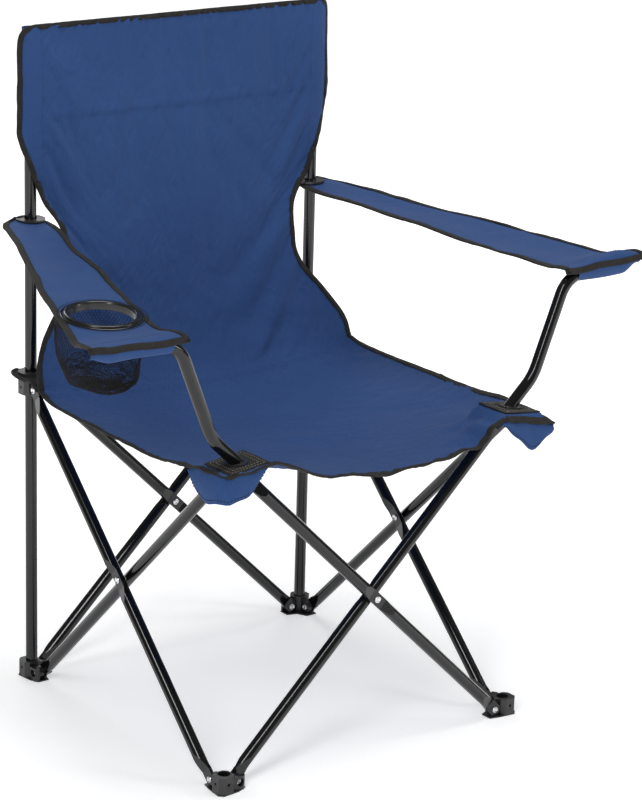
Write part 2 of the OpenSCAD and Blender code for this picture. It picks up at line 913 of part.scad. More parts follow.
seat_ear(-1);  // seat_ear_left
seat_ear(1);  // seat_ear_right
ear_ring(-1);  // ear_ring_left
ear_ring(1);  // ear_ring_right
back_upper();
back_lower();
seat_rear();
seat_front();
arm_rear(-1);  // arm_left_rear
arm_front(-1);  // arm_left_front
arm_rear(1);  // arm_right_rear
arm_front(1);  // arm_right_front
cup_ring();
cup_bag();
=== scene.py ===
"""Looks of the folding camp chair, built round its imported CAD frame."""

import math

import bpy
import numpy as np
from mathutils import Matrix, Vector


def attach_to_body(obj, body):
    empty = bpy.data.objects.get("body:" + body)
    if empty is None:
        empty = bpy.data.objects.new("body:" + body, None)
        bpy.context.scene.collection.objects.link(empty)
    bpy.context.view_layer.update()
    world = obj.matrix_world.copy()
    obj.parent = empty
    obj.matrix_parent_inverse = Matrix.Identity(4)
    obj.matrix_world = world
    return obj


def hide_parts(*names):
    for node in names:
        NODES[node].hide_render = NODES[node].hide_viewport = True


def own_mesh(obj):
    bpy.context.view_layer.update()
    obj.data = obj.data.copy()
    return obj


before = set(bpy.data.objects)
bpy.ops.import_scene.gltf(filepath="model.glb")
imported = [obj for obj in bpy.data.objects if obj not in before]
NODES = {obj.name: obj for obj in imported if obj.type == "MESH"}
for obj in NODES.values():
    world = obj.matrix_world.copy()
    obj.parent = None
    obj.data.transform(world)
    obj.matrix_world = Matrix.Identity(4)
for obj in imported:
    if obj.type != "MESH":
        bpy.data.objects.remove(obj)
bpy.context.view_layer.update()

# ---- driving dimensions, in millimetres, as in the CAD model ----
FRAME_Y = 9.0
HALF = 215.0
FRONT_Y = FRAME_Y - HALF
REAR_Y = FRAME_Y + HALF
BACK_Y = REAR_Y - 8.9
CREASE_Y = REAR_Y - 61
BACK_SPLIT = 650.0
SEAT_SPLIT = (CREASE_Y + FRONT_Y) / 2
ARM_SPLIT = REAR_Y - 176
ARM_REAR_Z = 601.0
ARM_TUBE_Z = 560.0
ARM_SLOPE = math.atan2(ARM_REAR_Z - ARM_TUBE_Z, 2 * HALF)
CUP_X, CUP_Y = -320.0, FRAME_Y - 110
CUP_Z = ARM_REAR_Z + (CUP_Y - REAR_Y) * math.tan(ARM_SLOPE) + 1.25
FOLDED_SHARE = 0.307
SIDES = ((-1, "left"), (1, "right"))

# ---- small helpers ----


def smooth(a, b, t):
    """0 before a, 1 after b, and a smooth step between."""
    s = np.clip((np.asarray(t, float) - a) / (b - a), 0, 1)
    return s * s * (3 - 2 * s)


def curve(points, t):
    """A smooth curve through (t, value) points, by Hermite pieces with gentle slopes."""
    x, y = np.array(points, float).T
    d = np.gradient(y, x)
    s = np.diff(y) / np.diff(x)
    for k in range(1, len(x) - 1):
        if s[k - 1] * s[k] <= 0:
            d[k] = 0
        else:
            d[k] = np.sign(s[k]) * min(abs(d[k]), 3 * abs(s[k - 1]), 3 * abs(s[k]))
    t = np.clip(np.asarray(t, float), x[0], x[-1])
    i = np.clip(np.searchsorted(x, t, side="right") - 1, 0, len(x) - 2)
    h = x[i + 1] - x[i]
    u = (t - x[i]) / h
    return ((2 * u**3 - 3 * u**2 + 1) * y[i] + (u**3 - 2 * u**2 + u) * h * d[i]
            + (3 * u**2 - 2 * u**3) * y[i + 1] + (u**3 - u**2) * h * d[i + 1])


def wobble(t, seed, period):
    """Smooth seeded noise between about -1 and 1 along t."""
    r = np.random.default_rng(seed)
    t = np.asarray(t, float) / period
    n = int(np.max(t) - np.min(t)) + 4
    values = r.uniform(-1, 1, n)
    i = np.floor(t - np.min(t)).astype(int)
    f = (t - np.min(t)) - i
    f = f * f * (3 - 2 * f)
    return values[i] * (1 - f) + values[i + 1] * f


def unit(v):
    n = np.linalg.norm(v, axis=-1, keepdims=True)
    return v / np.maximum(n, 1e-9)


def new_mesh(name, verts, faces, material, uvs=None, normals=None):
    """An object from points in millimetres, with UVs in metres where given per point."""
    mesh = bpy.data.meshes.new(name)
    mesh.from_pydata((np.asarray(verts) * 0.001).tolist(), [], [tuple(map(int, f)) for f in faces])
    mesh.validate(clean_customdata=False)
    mesh.materials.append(material)
    mesh.polygons.foreach_set("use_smooth", [True] * len(mesh.polygons))
    if uvs is not None:
        layer = mesh.uv_layers.new(name="UVMap")
        index = np.empty(len(mesh.loops), dtype=np.int32)
        mesh.loops.foreach_get("vertex_index", index)
        layer.data.foreach_set("uv", np.asarray(uvs, np.float32)[index].ravel() * 0.001)
    if normals is not None:
        mesh.normals_split_custom_set_from_vertices(np.asarray(normals).tolist())
    obj = bpy.data.objects.new(name, mesh)
    bpy.context.scene.collection.objects.link(obj)
    return obj


def attach(obj, body, squash=None, stands_for=()):
    """The piece rides on a body, hides the parts it stands for, and gets a mesh of its own where a squash is
    given.
    """
    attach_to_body(obj, body)
    if stands_for:
        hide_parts(*stands_for)
    if squash:
        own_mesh(obj)
    return obj


# ---- materials ----


class Nodes:
    """A short way to write a material's nodes."""

    def __init__(self, name):
        self.mat = bpy.data.materials.new(name)
        self.mat.use_nodes = True
        self.tree = self.mat.node_tree
        self.shader = self.tree.nodes["Principled BSDF"]
        coords = self.add("ShaderNodeTexCoord").outputs
        self.uv, self.place = coords["UV"], coords["Object"]

    def add(self, kind, inputs=None, **settings):
        node = self.tree.nodes.new(kind)
        for key, value in settings.items():
            setattr(node, key, value)
        for key, value in (inputs or {}).items():
            if isinstance(value, bpy.types.NodeSocket):
                self.tree.links.new(value, node.inputs[key])
            else:
                node.inputs[key].default_value = value
        return node

    def math(self, op, a, b=0.0):
        return self.add("ShaderNodeMath", {0: a, 1: b}, operation=op).outputs[0]

    def linear(self, value, factor, plus):
        return self.math("ADD", self.math("MULTIPLY", value, factor), plus)

    def mix(self, factor, a, b):
        node = self.add("ShaderNodeMix", data_type="RGBA")
        for socket, value in ((0, factor), (6, a), (7, b)):
            if isinstance(value, bpy.types.NodeSocket):
                self.tree.links.new(value, node.inputs[socket])
            else:
                node.inputs[socket].default_value = value
        return node.outputs[2]

    def ramp(self, value, stops):
        node = self.add("ShaderNodeValToRGB", {0: value})
        cr = node.color_ramp
        cr.elements[0].position, cr.elements[0].color = stops[0][0], (*[stops[0][1]] * 3, 1)
        cr.elements[1].position, cr.elements[1].color = stops[1][0], (*[stops[1][1]] * 3, 1)
        return node.outputs[0]

    def noise(self, scale, detail=3.0, rough=0.5, distortion=0.0):
        return self.add("ShaderNodeTexNoise", {
            "Vector": self.place, "Scale": scale, "Detail": detail, "Roughness": rough,
            "Distortion": distortion}).outputs["Fac"]

    def bump(self, height, distance, strength=1.0, after=None):
        inputs = {"Height": height, "Distance": distance, "Strength": strength}
        if after is not None:
            inputs["Normal"] = after
        return self.add("ShaderNodeBump", inputs).outputs[0]

    def set(self, **values):
        for key, value in values.items():
            socket = self.shader.inputs[key.replace("_", " ")]
            if isinstance(value, bpy.types.NodeSocket):
                self.tree.links.new(value, socket)
            else:
                socket.default_value = value
        return self.mat


def woven(name, base, dark, thread=0.9, wrinkle=0.0012, sheen=0.25, rough=0.78):
    """Plain-woven polyester: crossing threads, soft mottling and small wrinkles."""
    n = Nodes(name)
    split = n.add("ShaderNodeSeparateXYZ", {0: n.uv})
    turns = 2 * math.pi / (thread * 0.001)
    warp = n.math("SINE", n.math("MULTIPLY", split.outputs[0], turns))
    weft = n.math("SINE", n.math("MULTIPLY", split.outputs[1], turns))
    cell = n.math("MULTIPLY", warp, weft)
    slub = n.noise(900.0, 2.0)
    weave = n.linear(cell, 0.5, slub)
    patchy = n.noise(7.0, 4.0, 0.6)
    fine = n.noise(260.0, 2.0)
    tone = n.math("ADD", n.math("MULTIPLY", patchy, 0.7), n.math("MULTIPLY", fine, 0.3))
    colour = n.mix(n.ramp(tone, ((0.3, 0.0), (0.72, 1.0))), (*dark, 1), (*base, 1))
    colour = n.mix(n.ramp(cell, ((0.0, 0.0), (1.0, 0.16))), colour, (0.0, 0.0, 0.0, 1))
    folds = n.noise(16.0, 3.0, 0.45, 0.6)
    soft = n.bump(folds, wrinkle * 6, 0.55)
    tiny = n.bump(n.noise(85.0, 2.0, 0.5, 0.3), 0.0006, 0.5, soft)
    normal = n.bump(weave, 0.00012, 0.6, tiny)
    return n.set(Base_Color=colour, Roughness=n.linear(fine, 0.12, rough - 0.06),
                 Sheen_Weight=sheen, Sheen_Roughness=0.45, Specular_IOR_Level=0.15, Normal=normal)


def tape(name, base, light, rib=1.1):
    """Ribbed binding tape."""
    n = Nodes(name)
    split = n.add("ShaderNodeSeparateXYZ", {0: n.uv})
    ribs = n.math("SINE", n.math("MULTIPLY", split.outputs[0], 2 * math.pi / (rib * 0.001)))
    fuzz = n.noise(700.0, 3.0)
    tone = n.noise(60.0, 3.0)
    colour = n.mix(n.ramp(n.math("ADD", n.math("MULTIPLY", tone, 0.6), n.math("MULTIPLY", fuzz, 0.4)),
                          ((0.3, 0.0), (0.75, 1.0))), (*base, 1), (*light, 1))
    lumps = n.bump(n.noise(55.0, 2.0), 0.003, 0.6)
    normal = n.bump(n.math("ADD", ribs, fuzz), 0.0002, 0.6, lumps)
    return n.set(Base_Color=colour, Roughness=0.75, Sheen_Weight=0.04, Sheen_Roughness=0.5,
                 Specular_IOR_Level=0.2, Normal=normal)


def painted(name):
    """Black powder-coated tube: glossy, with faint orange peel and a few dull rubs."""
    n = Nodes(name)
    peel = n.noise(420.0, 2.0)
    rubs = n.noise(24.0, 5.0, 0.65)
    colour = n.mix(n.ramp(rubs, ((0.55, 0.0), (0.8, 1.0))), (0.003, 0.003, 0.0034, 1),
                   (0.009, 0.009, 0.0095, 1))
    rough = n.linear(rubs, 0.12, 0.06)
    return n.set(Base_Color=colour, Roughness=rough, Specular_IOR_Level=0.5,
                 Normal=n.bump(peel, 0.00012, 0.35))


def moulded(name, base=0.007, rough=0.42, grain=520.0, depth=0.00012):
    """Moulded black plastic with a fine spark-eroded grain, paler towards grey on convex edges."""
    n = Nodes(name)
    fine = n.noise(grain, 3.0, 0.6)
    broad = n.noise(35.0, 4.0, 0.6)
    edge = n.add("ShaderNodeNewGeometry").outputs["Pointiness"]
    # convex edges are lightened towards grey where pointiness is high
    convex_paler = n.ramp(edge, ((0.52, 0.0), (0.6, 0.5)))
    colour = n.mix(broad, (base, base, base * 1.05, 1), (base * 1.9, base * 1.9, base * 2.0, 1))
    colour = n.mix(convex_paler, colour, (0.05, 0.05, 0.052, 1))
    return n.set(Base_Color=colour, Roughness=n.linear(broad, 0.2, rough - 0.1),
                 Specular_IOR_Level=0.5, Normal=n.bump(fine, depth, 0.6))


def riveted(name):
    """Zinc-plated rivet."""
    n = Nodes(name)
    marks = n.noise(600.0, 4.0, 0.6)
    broad = n.noise(120.0, 3.0)
    colour = n.mix(broad, (0.62, 0.62, 0.64, 1), (0.86, 0.86, 0.88, 1))
    return n.set(Base_Color=colour, Metallic=1.0, Roughness=n.linear(marks, 0.2, 0.2),
                 Normal=n.bump(marks, 0.00008, 0.5))


def plain_cloth(name, base, rough=0.8):
    """Thread or net yarn, with a fibre-like speckle."""
    n = Nodes(name)
    fuzz = n.noise(1500.0, 2.0)
    light = tuple(min(1.0, c * 1.9 + 0.004) for c in base)
    return n.set(Base_Color=n.mix(fuzz, (*base, 1), (*light, 1)), Roughness=rough,
                 Specular_IOR_Level=0.2, Normal=n.bump(fuzz, 0.0001, 0.5))


BLUE = woven("cloth_blue", (0.030, 0.074, 0.212), (0.022, 0.058, 0.176), sheen=0.06)
BLUE_ARM = woven("cloth_blue_arm", (0.031, 0.076, 0.216), (0.023, 0.060, 0.180), wrinkle=0.0008, sheen=0.06)
PATCH = woven("patch_webbing", (0.026, 0.0245, 0.022), (0.014, 0.0132, 0.012), thread=1.6, wrinkle=0.0005,
              sheen=0.05)
TAPE = tape("binding_tape", (0.010, 0.0095, 0.009), (0.026, 0.0245, 0.0225))
PAINT = painted("painted_tube")
PLASTIC = moulded("moulded_plastic", 0.0045, 0.38)
RING = moulded("ring_plastic", 0.005, 0.24, 300.0, 0.00008)
STEEL = riveted("rivet_steel")
THREAD_BLUE = plain_cloth("thread_blue", (0.016, 0.042, 0.13))
THREAD_LIGHT = plain_cloth("thread_light", (0.22, 0.21, 0.19))
THREAD_DARK = plain_cloth("thread_dark", (0.012, 0.012, 0.012))
NET = plain_cloth("net_yarn", (0.006, 0.006, 0.007), 0.7)

for name, node in NODES.items():
    if node.type != "MESH":
        continue
    if "rivet" in name:
        material = STEEL
    elif name.startswith(("brace", "post_left", "post_right", "arm_post")):
        material = PAINT
    elif name in ("cup_ring", "collar_left", "collar_right", "grommet_left", "grommet_right"):
        material = RING
    else:
        material = PLASTIC
    if node.material_slots:
        for s in node.material_slots:
            s.link = "OBJECT"
            s.material = material
    else:
        node.data.materials.append(material)

# ---- cloth sheets ----


def grid_normals(p):
    """Normals of a grid of points, by rows and columns."""
    du = np.gradient(p, axis=1)
    dv = np.gradient(p, axis=0)
    return unit(np.cross(du, dv))


def normals_along(p, axis=2, part=np.s_[:]):
    """Normals of a grid, turned so that on average a part of them looks along an axis."""
    n = grid_normals(p)
    return -n if np.mean(n[part][..., axis]) < 0 else n


def all_quads(p):
    return np.ones((p.shape[0] - 1, p.shape[1] - 1), bool)


def rim(p):
    """True for the outer points of a grid."""
    outer = np.ones(p.shape[:2], bool)
    outer[1:-1, 1:-1] = False
    return outer


def from_line(x, y, a, d):
    """Distances along and across a line that starts at a and runs along d."""
    return (x - a[0]) * d[0] + (y - a[1]) * d[1], -(x - a[0]) * d[1] + (y - a[1]) * d[0]


def grid_uv(p):
    """Distances along the cloth's columns and rows, as flat coordinates in millimetres."""
    across = np.concatenate([np.zeros((p.shape[0], 1)),
                             np.cumsum(np.linalg.norm(np.diff(p, axis=1), axis=2), axis=1)], axis=1)
    across = across - across[:, p.shape[1] // 2][:, None]
    along = np.concatenate([np.zeros((1, p.shape[1])),
                            np.cumsum(np.linalg.norm(np.diff(p, axis=0), axis=2), axis=0)], axis=0)
    return np.stack([across, along], axis=2)


def cloth_solid(name, p, uv, normal, keep, thick, material):
    """A thin closed sheet from a grid: both faces, and a rim round every open edge."""
    rows, cols = p.shape[:2]
    index = np.arange(rows * cols).reshape(rows, cols)
    quads = []
    for i in range(rows - 1):
        for j in range(cols - 1):
            if keep[i, j]:
                quads.append((index[i, j], index[i, j + 1], index[i + 1, j + 1], index[i + 1, j]))
    used = sorted({k for q in quads for k in q})
    new = {k: n for n, k in enumerate(used)}
    count = len(used)
    flat_p, flat_n, flat_uv = p.reshape(-1, 3)[used], normal.reshape(-1, 3)[used], uv.reshape(-1, 2)[used]
    faces, edges = [], {}
    for q in quads:
        a = [new[k] for k in q]
        faces.append(tuple(a))
        faces.append(tuple(k + count for k in reversed(a)))
        for k in range(4):
            e = (a[k], a[(k + 1) % 4])
            if (e[1], e[0]) in edges:
                del edges[(e[1], e[0])]
            else:
                edges[e] = True
    for a, b in edges:
        faces.append((b, a, a + count, b + count))
    verts = np.concatenate([flat_p + flat_n * thick / 2, flat_p - flat_n * thick / 2])
    return new_mesh(name, verts, faces, material, np.concatenate([flat_uv, flat_uv]),
                    np.concatenate([flat_n, -flat_n]))


def relax(p, pinned, slack, frames, stiffness, seed, lift=0.0, bending=0.4, gravity=1.0):
    """Cloth simulation of a grid of points whose pinned points stay: the rest settles and wrinkles."""
    rows, cols = p.shape[:2]
    index = np.arange(rows * cols).reshape(rows, cols)
    faces = [(index[i, j], index[i, j + 1], index[i + 1, j + 1], index[i + 1, j])
             for i in range(rows - 1) for j in range(cols - 1)]
    r = np.random.default_rng(seed)
    start = p.copy()
    start[~pinned] += grid_normals(p)[~pinned] * r.uniform(-1, 1, (int((~pinned).sum()), 1)) * lift
    obj = new_mesh("relaxing", start.reshape(-1, 3), faces, BLUE)
    group = obj.vertex_groups.new(name="pin")
    group.add(index[pinned].tolist(), 1.0, "REPLACE")
    cloth = obj.modifiers.new("Cloth", "CLOTH")
    s = cloth.settings
    s.quality = 6
    s.mass = 0.25
    s.tension_stiffness = s.compression_stiffness = stiffness
    s.shear_stiffness = stiffness * 0.4
    s.bending_stiffness = bending
    s.tension_damping = s.compression_damping = s.shear_damping = 12
    s.air_damping = 4
    s.shrink_min = -slack
    s.vertex_group_mass = "pin"
    s.effector_weights.gravity = gravity
    cloth.collision_settings.use_collision = False
    cloth.point_cache.frame_start = 1
    cloth.point_cache.frame_end = frames
    scene = bpy.context.scene
    for f in range(1, frames + 1):
        scene.frame_set(f)
    done = obj.evaluated_get(bpy.context.evaluated_depsgraph_get())
    out = np.empty(rows * cols * 3)
    done.data.vertices.foreach_get("co", out)
    out = out.reshape(rows, cols, 3) * 1000
    scene.frame_set(1)
    bpy.data.objects.remove(obj)
    moved = out - p
    far = np.linalg.norm(moved, axis=2, keepdims=True)
    cap = 26.0
    return p + moved * np.minimum(1, cap / np.maximum(far, 1e-6))


# ---- bindings, seams and stitches ----


def spaced(points, step):
    """A polyline resampled at an even step."""
    points = np.asarray(points, float)
    seg = np.linalg.norm(np.diff(points, axis=0), axis=1)
    s = np.concatenate([[0], np.cumsum(seg)])
    n = max(3, int(round(s[-1] / step)) + 1)
    t = np.linspace(0, s[-1], n)
    return np.stack([np.interp(t, s, points[:, k]) for k in range(points.shape[1])], axis=1), t


def binding(edges, inside=6.2, outside=1.6, half=1.5, seed=1, pucker=1.0):
    """Tape folded over cloth edges. Each edge is (points, outward directions, cloth normals)."""
    verts, faces, uvs = [], [], []
    shape = [(-inside, 0.72), (-inside * 0.98, 0.98), (-inside * 0.5, 1.06), (0, 1.0), (outside * 0.75, 0.7),
             (outside, 0.0)]
    ring = shape + [(a, -b) for a, b in reversed(shape[:-1])]
    for k, (points, out, normal) in enumerate(edges):
        data, t = spaced(np.concatenate([points, out, normal], axis=1), 3.0)
        pts, o, n = data[:, :3], unit(data[:, 3:6]), unit(data[:, 6:9])
        s = seed * 31 + k
        # an edge that runs across the top of the back is pulled straight
        loose = pucker * (0.25 + 0.75 * (np.abs(o[:, 2]) < 0.8)) * (0.55 + 0.45 * wobble(t, s + 29, 70))
        wide = 1 + 0.16 * loose * wobble(t, s, 26) + 0.06 * loose * wobble(t, s + 7, 7)
        rise = loose * wobble(t, s + 11, 31) + 0.3 * loose * wobble(t, s + 13, 8)
        push = loose * wobble(t, s + 17, 29) + 0.35 * loose * wobble(t, s + 31, 11)
        tilt = 0.18 * loose * wobble(t, s + 19, 27)
        fat = 1 + 0.22 * loose * wobble(t, s + 23, 12)
        base = len(verts)
        m = len(ring)
        for i in range(len(pts)):
            c, d = math.cos(tilt[i]), math.sin(tilt[i])
            oo, nn = o[i] * c + n[i] * d, n[i] * c - o[i] * d
            for j, (a, b) in enumerate(ring):
                a2 = a * wide[i] if a < 0 else a
                verts.append(pts[i] + oo * (a2 + push[i]) + nn * (b * half * fat[i] + rise[i]))
                uvs.append((t[i], j * 2.0))
        for i in range(len(pts) - 1):
            for j in range(m):
                a, b = base + i * m + j, base + i * m + (j + 1) % m
                faces.append((a, b, b + m, a + m))
        faces.append(tuple(base + j for j in reversed(range(m))))
        faces.append(tuple(base + (len(pts) - 1) * m + j for j in range(m)))
    return np.array(verts), faces, np.array(uvs)


STITCH_FACES = ((0, 2, 1), (0, 3, 2), (1, 2, 5, 4), (2, 3, 6, 5), (4, 5, 7), (5, 6, 7), (0, 1, 4, 7),
                (0, 7, 6, 3))


def stitches(lines, length=2.6, gap=1.3, radius=0.35, lift=0.35):
    """Rows of short thread stitches. Each line is (points, cloth normals)."""
    verts, faces = [], []
    for points, normal in lines:
        data = spaced(np.concatenate([points, normal], axis=1), length + gap)[0]
        pts, n = data[:, :3], unit(data[:, 3:6])
        for i in range(len(pts) - 1):
            d = pts[i + 1] - pts[i]
            d = d / max(np.linalg.norm(d), 1e-6)
            side = np.cross(n[i], d)
            base = len(verts)
            verts.append(pts[i])
            for along in (0.25, 0.75):
                top = pts[i] + n[i] * lift + d * length * along
                verts += [top + side * radius, top + n[i] * radius, top - side * radius]
            verts.append(pts[i] + d * length)
            faces += [tuple(base + k for k in face) for face in STITCH_FACES]
    return np.array(verts), faces


def on_grid(p, n, rows, cols):
    """Points and normals of a grid along lists of fractional rows and columns."""
    rows, cols = np.asarray(rows, float), np.asarray(cols, float)
    i, j = np.clip(rows.astype(int), 0, p.shape[0] - 2), np.clip(cols.astype(int), 0, p.shape[1] - 2)
    a, b = (rows - i)[:, None], (cols - j)[:, None]

    def at(g):
        return ((1 - a) * (1 - b) * g[i, j] + a * (1 - b) * g[i + 1, j]
                + (1 - a) * b * g[i, j + 1] + a * b * g[i + 1, j + 1])
    return at(p), unit(at(n))


def grid_edge(p, n, which, lo=0, hi=None):
    """An outer edge of a grid with outward directions: top, bottom, left or right."""
    if which in ("top", "bottom"):
        i, k = (0, 1) if which == "top" else (-1, -2)
        pts, inner, nor = p[i], p[k], n[i]
    else:
        j, k = (0, 1) if which == "left" else (-1, -2)
        pts, inner, nor = p[:, j], p[:, k], n[:, j]
    sl = slice(lo, hi)
    along = np.gradient(pts, axis=0)
    out = np.cross(along, nor)
    sign = np.sign(np.sum(out * (pts - inner), axis=1, keepdims=True))
    return pts[sl], unit(out * sign)[sl], nor[sl]


# ---- the back ----

BACK_W = [(-845, 214), (-843.5, 222), (-840, 228), (-834, 231.5), (-826, 233), (-780, 234), (-735, 235),
          (-700, 231), (-664, 219), (-640, 209), (-625, 203), (-603, 186), (-585, 177), (-565, 175),
          (-543, 176), (-520, 178), (-497, 189), (-480, 203), (-450, 226), (-425, 239), (-403, 241.5)]
BACK_FORWARD = [(-845, 0), (-664, 0), (-640, 1.5), (-600, 4), (-572, 6), (-510, 14), (-462, 27),
                (-425, 44), (-403, 52.1)]
# the header's seam, and the post pockets' stitch lines and lower ends
HEADER_Z = 733.0
POCKET_X, POCKET_Z = 204.0, 664.0


def build_back():
    rows_z = -np.concatenate([np.array([845, 843.5, 840, 834, 826]), np.arange(821, 403.5, -5.0), [403.0]])
    cols = 97
    u = np.linspace(-1, 1, cols)
    w = curve(BACK_W, rows_z)
    fwd = curve(BACK_FORWARD, rows_z)
    p = np.zeros((len(rows_z), cols, 3))
    x = u[None, :] * w[:, None]
    p[..., 0] = x
    low = smooth(-560, -403, rows_z)[:, None]
    mid = 1 - np.abs(u[None, :]) ** 2.2
    p[..., 2] = -rows_z[:, None] - low * 17 * mid
    wrap = np.clip((np.abs(x) - 214) / 19, 0, 1) * (1 - smooth(-675, -640, rows_z))[:, None]
    bow = smooth(-700, -520, rows_z)[:, None] * (1 - smooth(-470, -403, rows_z))[:, None]
    p[..., 1] = BACK_Y - 1.2 - fwd[:, None] + wrap**2 * 7.5 - low * 11 * mid + bow * 9 * mid
    pinned = rim(p) | (np.abs(x) > POCKET_X - 1) & (rows_z < -POCKET_Z)[:, None]
    ruffle = np.random.default_rng(3)
    p = relax(p, pinned, 0.012, 34, 18.0, 5, lift=1.0, bending=0.25)
    n = grid_normals(p)
    across = p[..., 0]
    z = p[..., 2]
    # storage creases: a soft middle fold and slanting pulls towards the waist
    folds = 1.1 * np.exp(-((across + 19) / 5) ** 2) * smooth(-850, -800, -z) * (1 - smooth(-760, -640, -z))
    for side in (-1, 1):
        for k, (x0, z0, x1, z1, h, width) in enumerate([
                (60, 700, 150, 600, 1.5, 10), (20, 660, 120, 560, 1.2, 9), (150, 690, 90, 560, -1.0, 12),
                (30, 600, 60, 470, 1.4, 11), (110, 560, 60, 440, 1.1, 10), (170, 560, 100, 520, -1.6, 9),
                (175, 590, 120, 640, 1.3, 9), (150, 470, 70, 430, 1.2, 12), (200, 450, 120, 420, -1.2, 10)]):
            jig = ruffle.uniform(-14, 14, 4)
            a = np.array([side * x0 + jig[0], z0 + jig[1]])
            b = np.array([side * x1 + jig[2], z1 + jig[3]])
            d = b - a
            length = np.linalg.norm(d)
            d /= length
            s, t = from_line(across, z, a, d)
            bend = 7 * np.sin(s / length * 3.1 + k)
            window = np.exp(-((s - length / 2) / (length * 0.42)) ** 4)
            folds = folds + h * np.exp(-((t - bend) / width) ** 2) * window
    # the header's seam pulls the cloth into small puckers above and below it
    seam = np.exp(-((z - HEADER_Z) / 9) ** 2)
    pucker = wobble(across.ravel() + 300, 41, 6).reshape(across.shape)
    folds = folds + seam * pucker * 0.8 - 1.3 * np.exp(-((z - HEADER_Z) / 2.2) ** 2)
    stitch_in = np.exp(-((np.abs(across) - POCKET_X) / 2.0) ** 2) * (z > 655)
    folds = folds - 0.9 * stitch_in
    free = ~pinned
    free[0, :] = False
    return p + n * (folds * free)[..., None], rows_z


back, back_rows = build_back()
back_n = -normals_along(back, 1)
split_row = int(np.argmin(np.abs(back_rows + BACK_SPLIT)))
CLOTH = 1.0
TOP_SQUASH = (-HALF, FOLDED_SHARE)


def sheet_part(name, p, n, keep, body, squash=None, stands_for=(),
               material=BLUE, thick=CLOTH):
    """A cloth sheet from the kept quads of a grid, riding on the body it rests on."""
    uv = grid_uv(p)
    if float(np.sum(grid_normals(p) * n)) <= 0:
        # the columns are reversed, so that the faces look along n
        p, n, uv, keep = (a[:, ::-1] for a in (p, n, uv, keep))
    obj = cloth_solid(name, p, uv, n, keep, thick, material)
    attach(obj, body, squash, stands_for)


upper = all_quads(back)
upper[split_row:, :] = False
lower = ~upper


def bind_piece(name, edges, body, squash=None, **how):
    verts, faces, uvs = binding(edges, **how)
    obj = new_mesh(name, verts, faces, TAPE, uvs)
    return attach(obj, body, squash)


def stitch_piece(name, lines, body, slot, material, squash=None, **how):
    verts, faces = stitches(lines, **how)
    obj = new_mesh(name, verts, faces, material)
    return attach(obj, body, squash)


def join_edges(parts):
    """One long edge from edges that follow on from each other."""
    return tuple(np.concatenate([e[k] for e in parts]) for k in range(3))


def backwards(edge):
    return tuple(e[::-1] for e in edge)


left_top = grid_edge(back, back_n, "left", 0, split_row + 1)
right_top = grid_edge(back, back_n, "right", 0, split_row + 1)
top = grid_edge(back, back_n, "top")
outline = join_edges([backwards(left_top), top, right_top])
back_tape_top = bind_piece("back_binding_upper", [outline], "left_post_frame", TOP_SQUASH, seed=2, inside=5.0)
back_tape_low = bind_piece("back_binding_lower", [
    grid_edge(back, back_n, "left", split_row, None), grid_edge(back, back_n, "right", split_row, None)],
    "back_lower_half", TOP_SQUASH, seed=3, inside=5.4)


def back_column(x, row):
    """The fractional column of the back's grid at a distance from the middle."""
    return (x / abs(back[row, -1, 0]) + 1) / 2 * (back.shape[1] - 1)


seam_row = float(np.interp(HEADER_Z, -back_rows[::-1], np.arange(len(back_rows))[::-1]))
header = on_grid(back, back_n, [seam_row] * 60, np.linspace(2, back.shape[1] - 3, 60))
header2 = on_grid(back, back_n, [seam_row + 0.9] * 60, np.linspace(2, back.shape[1] - 3, 60))
pocket_lines = []
for side in (-1, 1):
    rr = np.linspace(2, split_row - 1, 40)
    pocket_lines.append(on_grid(back, back_n, rr, [back_column(side * POCKET_X, int(r)) for r in rr]))
back_thread = stitch_piece("back_stitches", [header, header2] + pocket_lines, "left_post_frame", "cloth_blue",
                           THREAD_BLUE, TOP_SQUASH, lift=0.75)


def pocket_grid(side):
    """The rear layer of a post's pocket, from the stitch line behind the post to the outer seam."""
    r = 9.3
    profile = [(side * 205, BACK_Y - 0.4)]
    for a in np.linspace(150, -20, 15):
        profile.append((side * (HALF + r * math.cos(math.radians(a))), REAR_Y + r * math.sin(math.radians(a))))
    profile.append((side * 229, REAR_Y - 3.5))
    profile = np.array(profile)
    heights = np.concatenate([[842, 838, 830], np.arange(820, 708, -8.0), [705, 701]])
    p = np.zeros((len(heights), len(profile), 3))
    for i, z in enumerate(heights):
        edge = float(curve(BACK_W, -z))
        f = 1 + 0.02 * math.sin(z / 13.0) + 0.015 * math.sin(z / 5.1 + side)
        cx = HALF * side
        p[i, :, 0] = cx + (profile[:, 0] - cx) * f
        p[i, :, 1] = REAR_Y + (profile[:, 1] - REAR_Y) * f
        p[i, -1, 0] = side * (edge - 3)
        p[i, :, 2] = z
    p[-2:, :, 2] -= 2.5 * np.sin(np.linspace(0, math.pi, len(profile)))
    return p


for side, word in SIDES:
    g = pocket_grid(side)
    gn = normals_along(g, 1, np.s_[:, 5:12])
    sheet_part(f"post_pocket_{word}", g, gn, all_quads(g), f"{word}_post_frame")

sheet_part("back_cloth_upper", back, back_n, upper, "left_post_frame",
           squash=TOP_SQUASH, stands_for=["back_upper"])
sheet_part("back_cloth_lower", back, back_n, lower, "back_lower_half",
           squash=TOP_SQUASH, stands_for=["back_lower"])

# ---- the seat ----

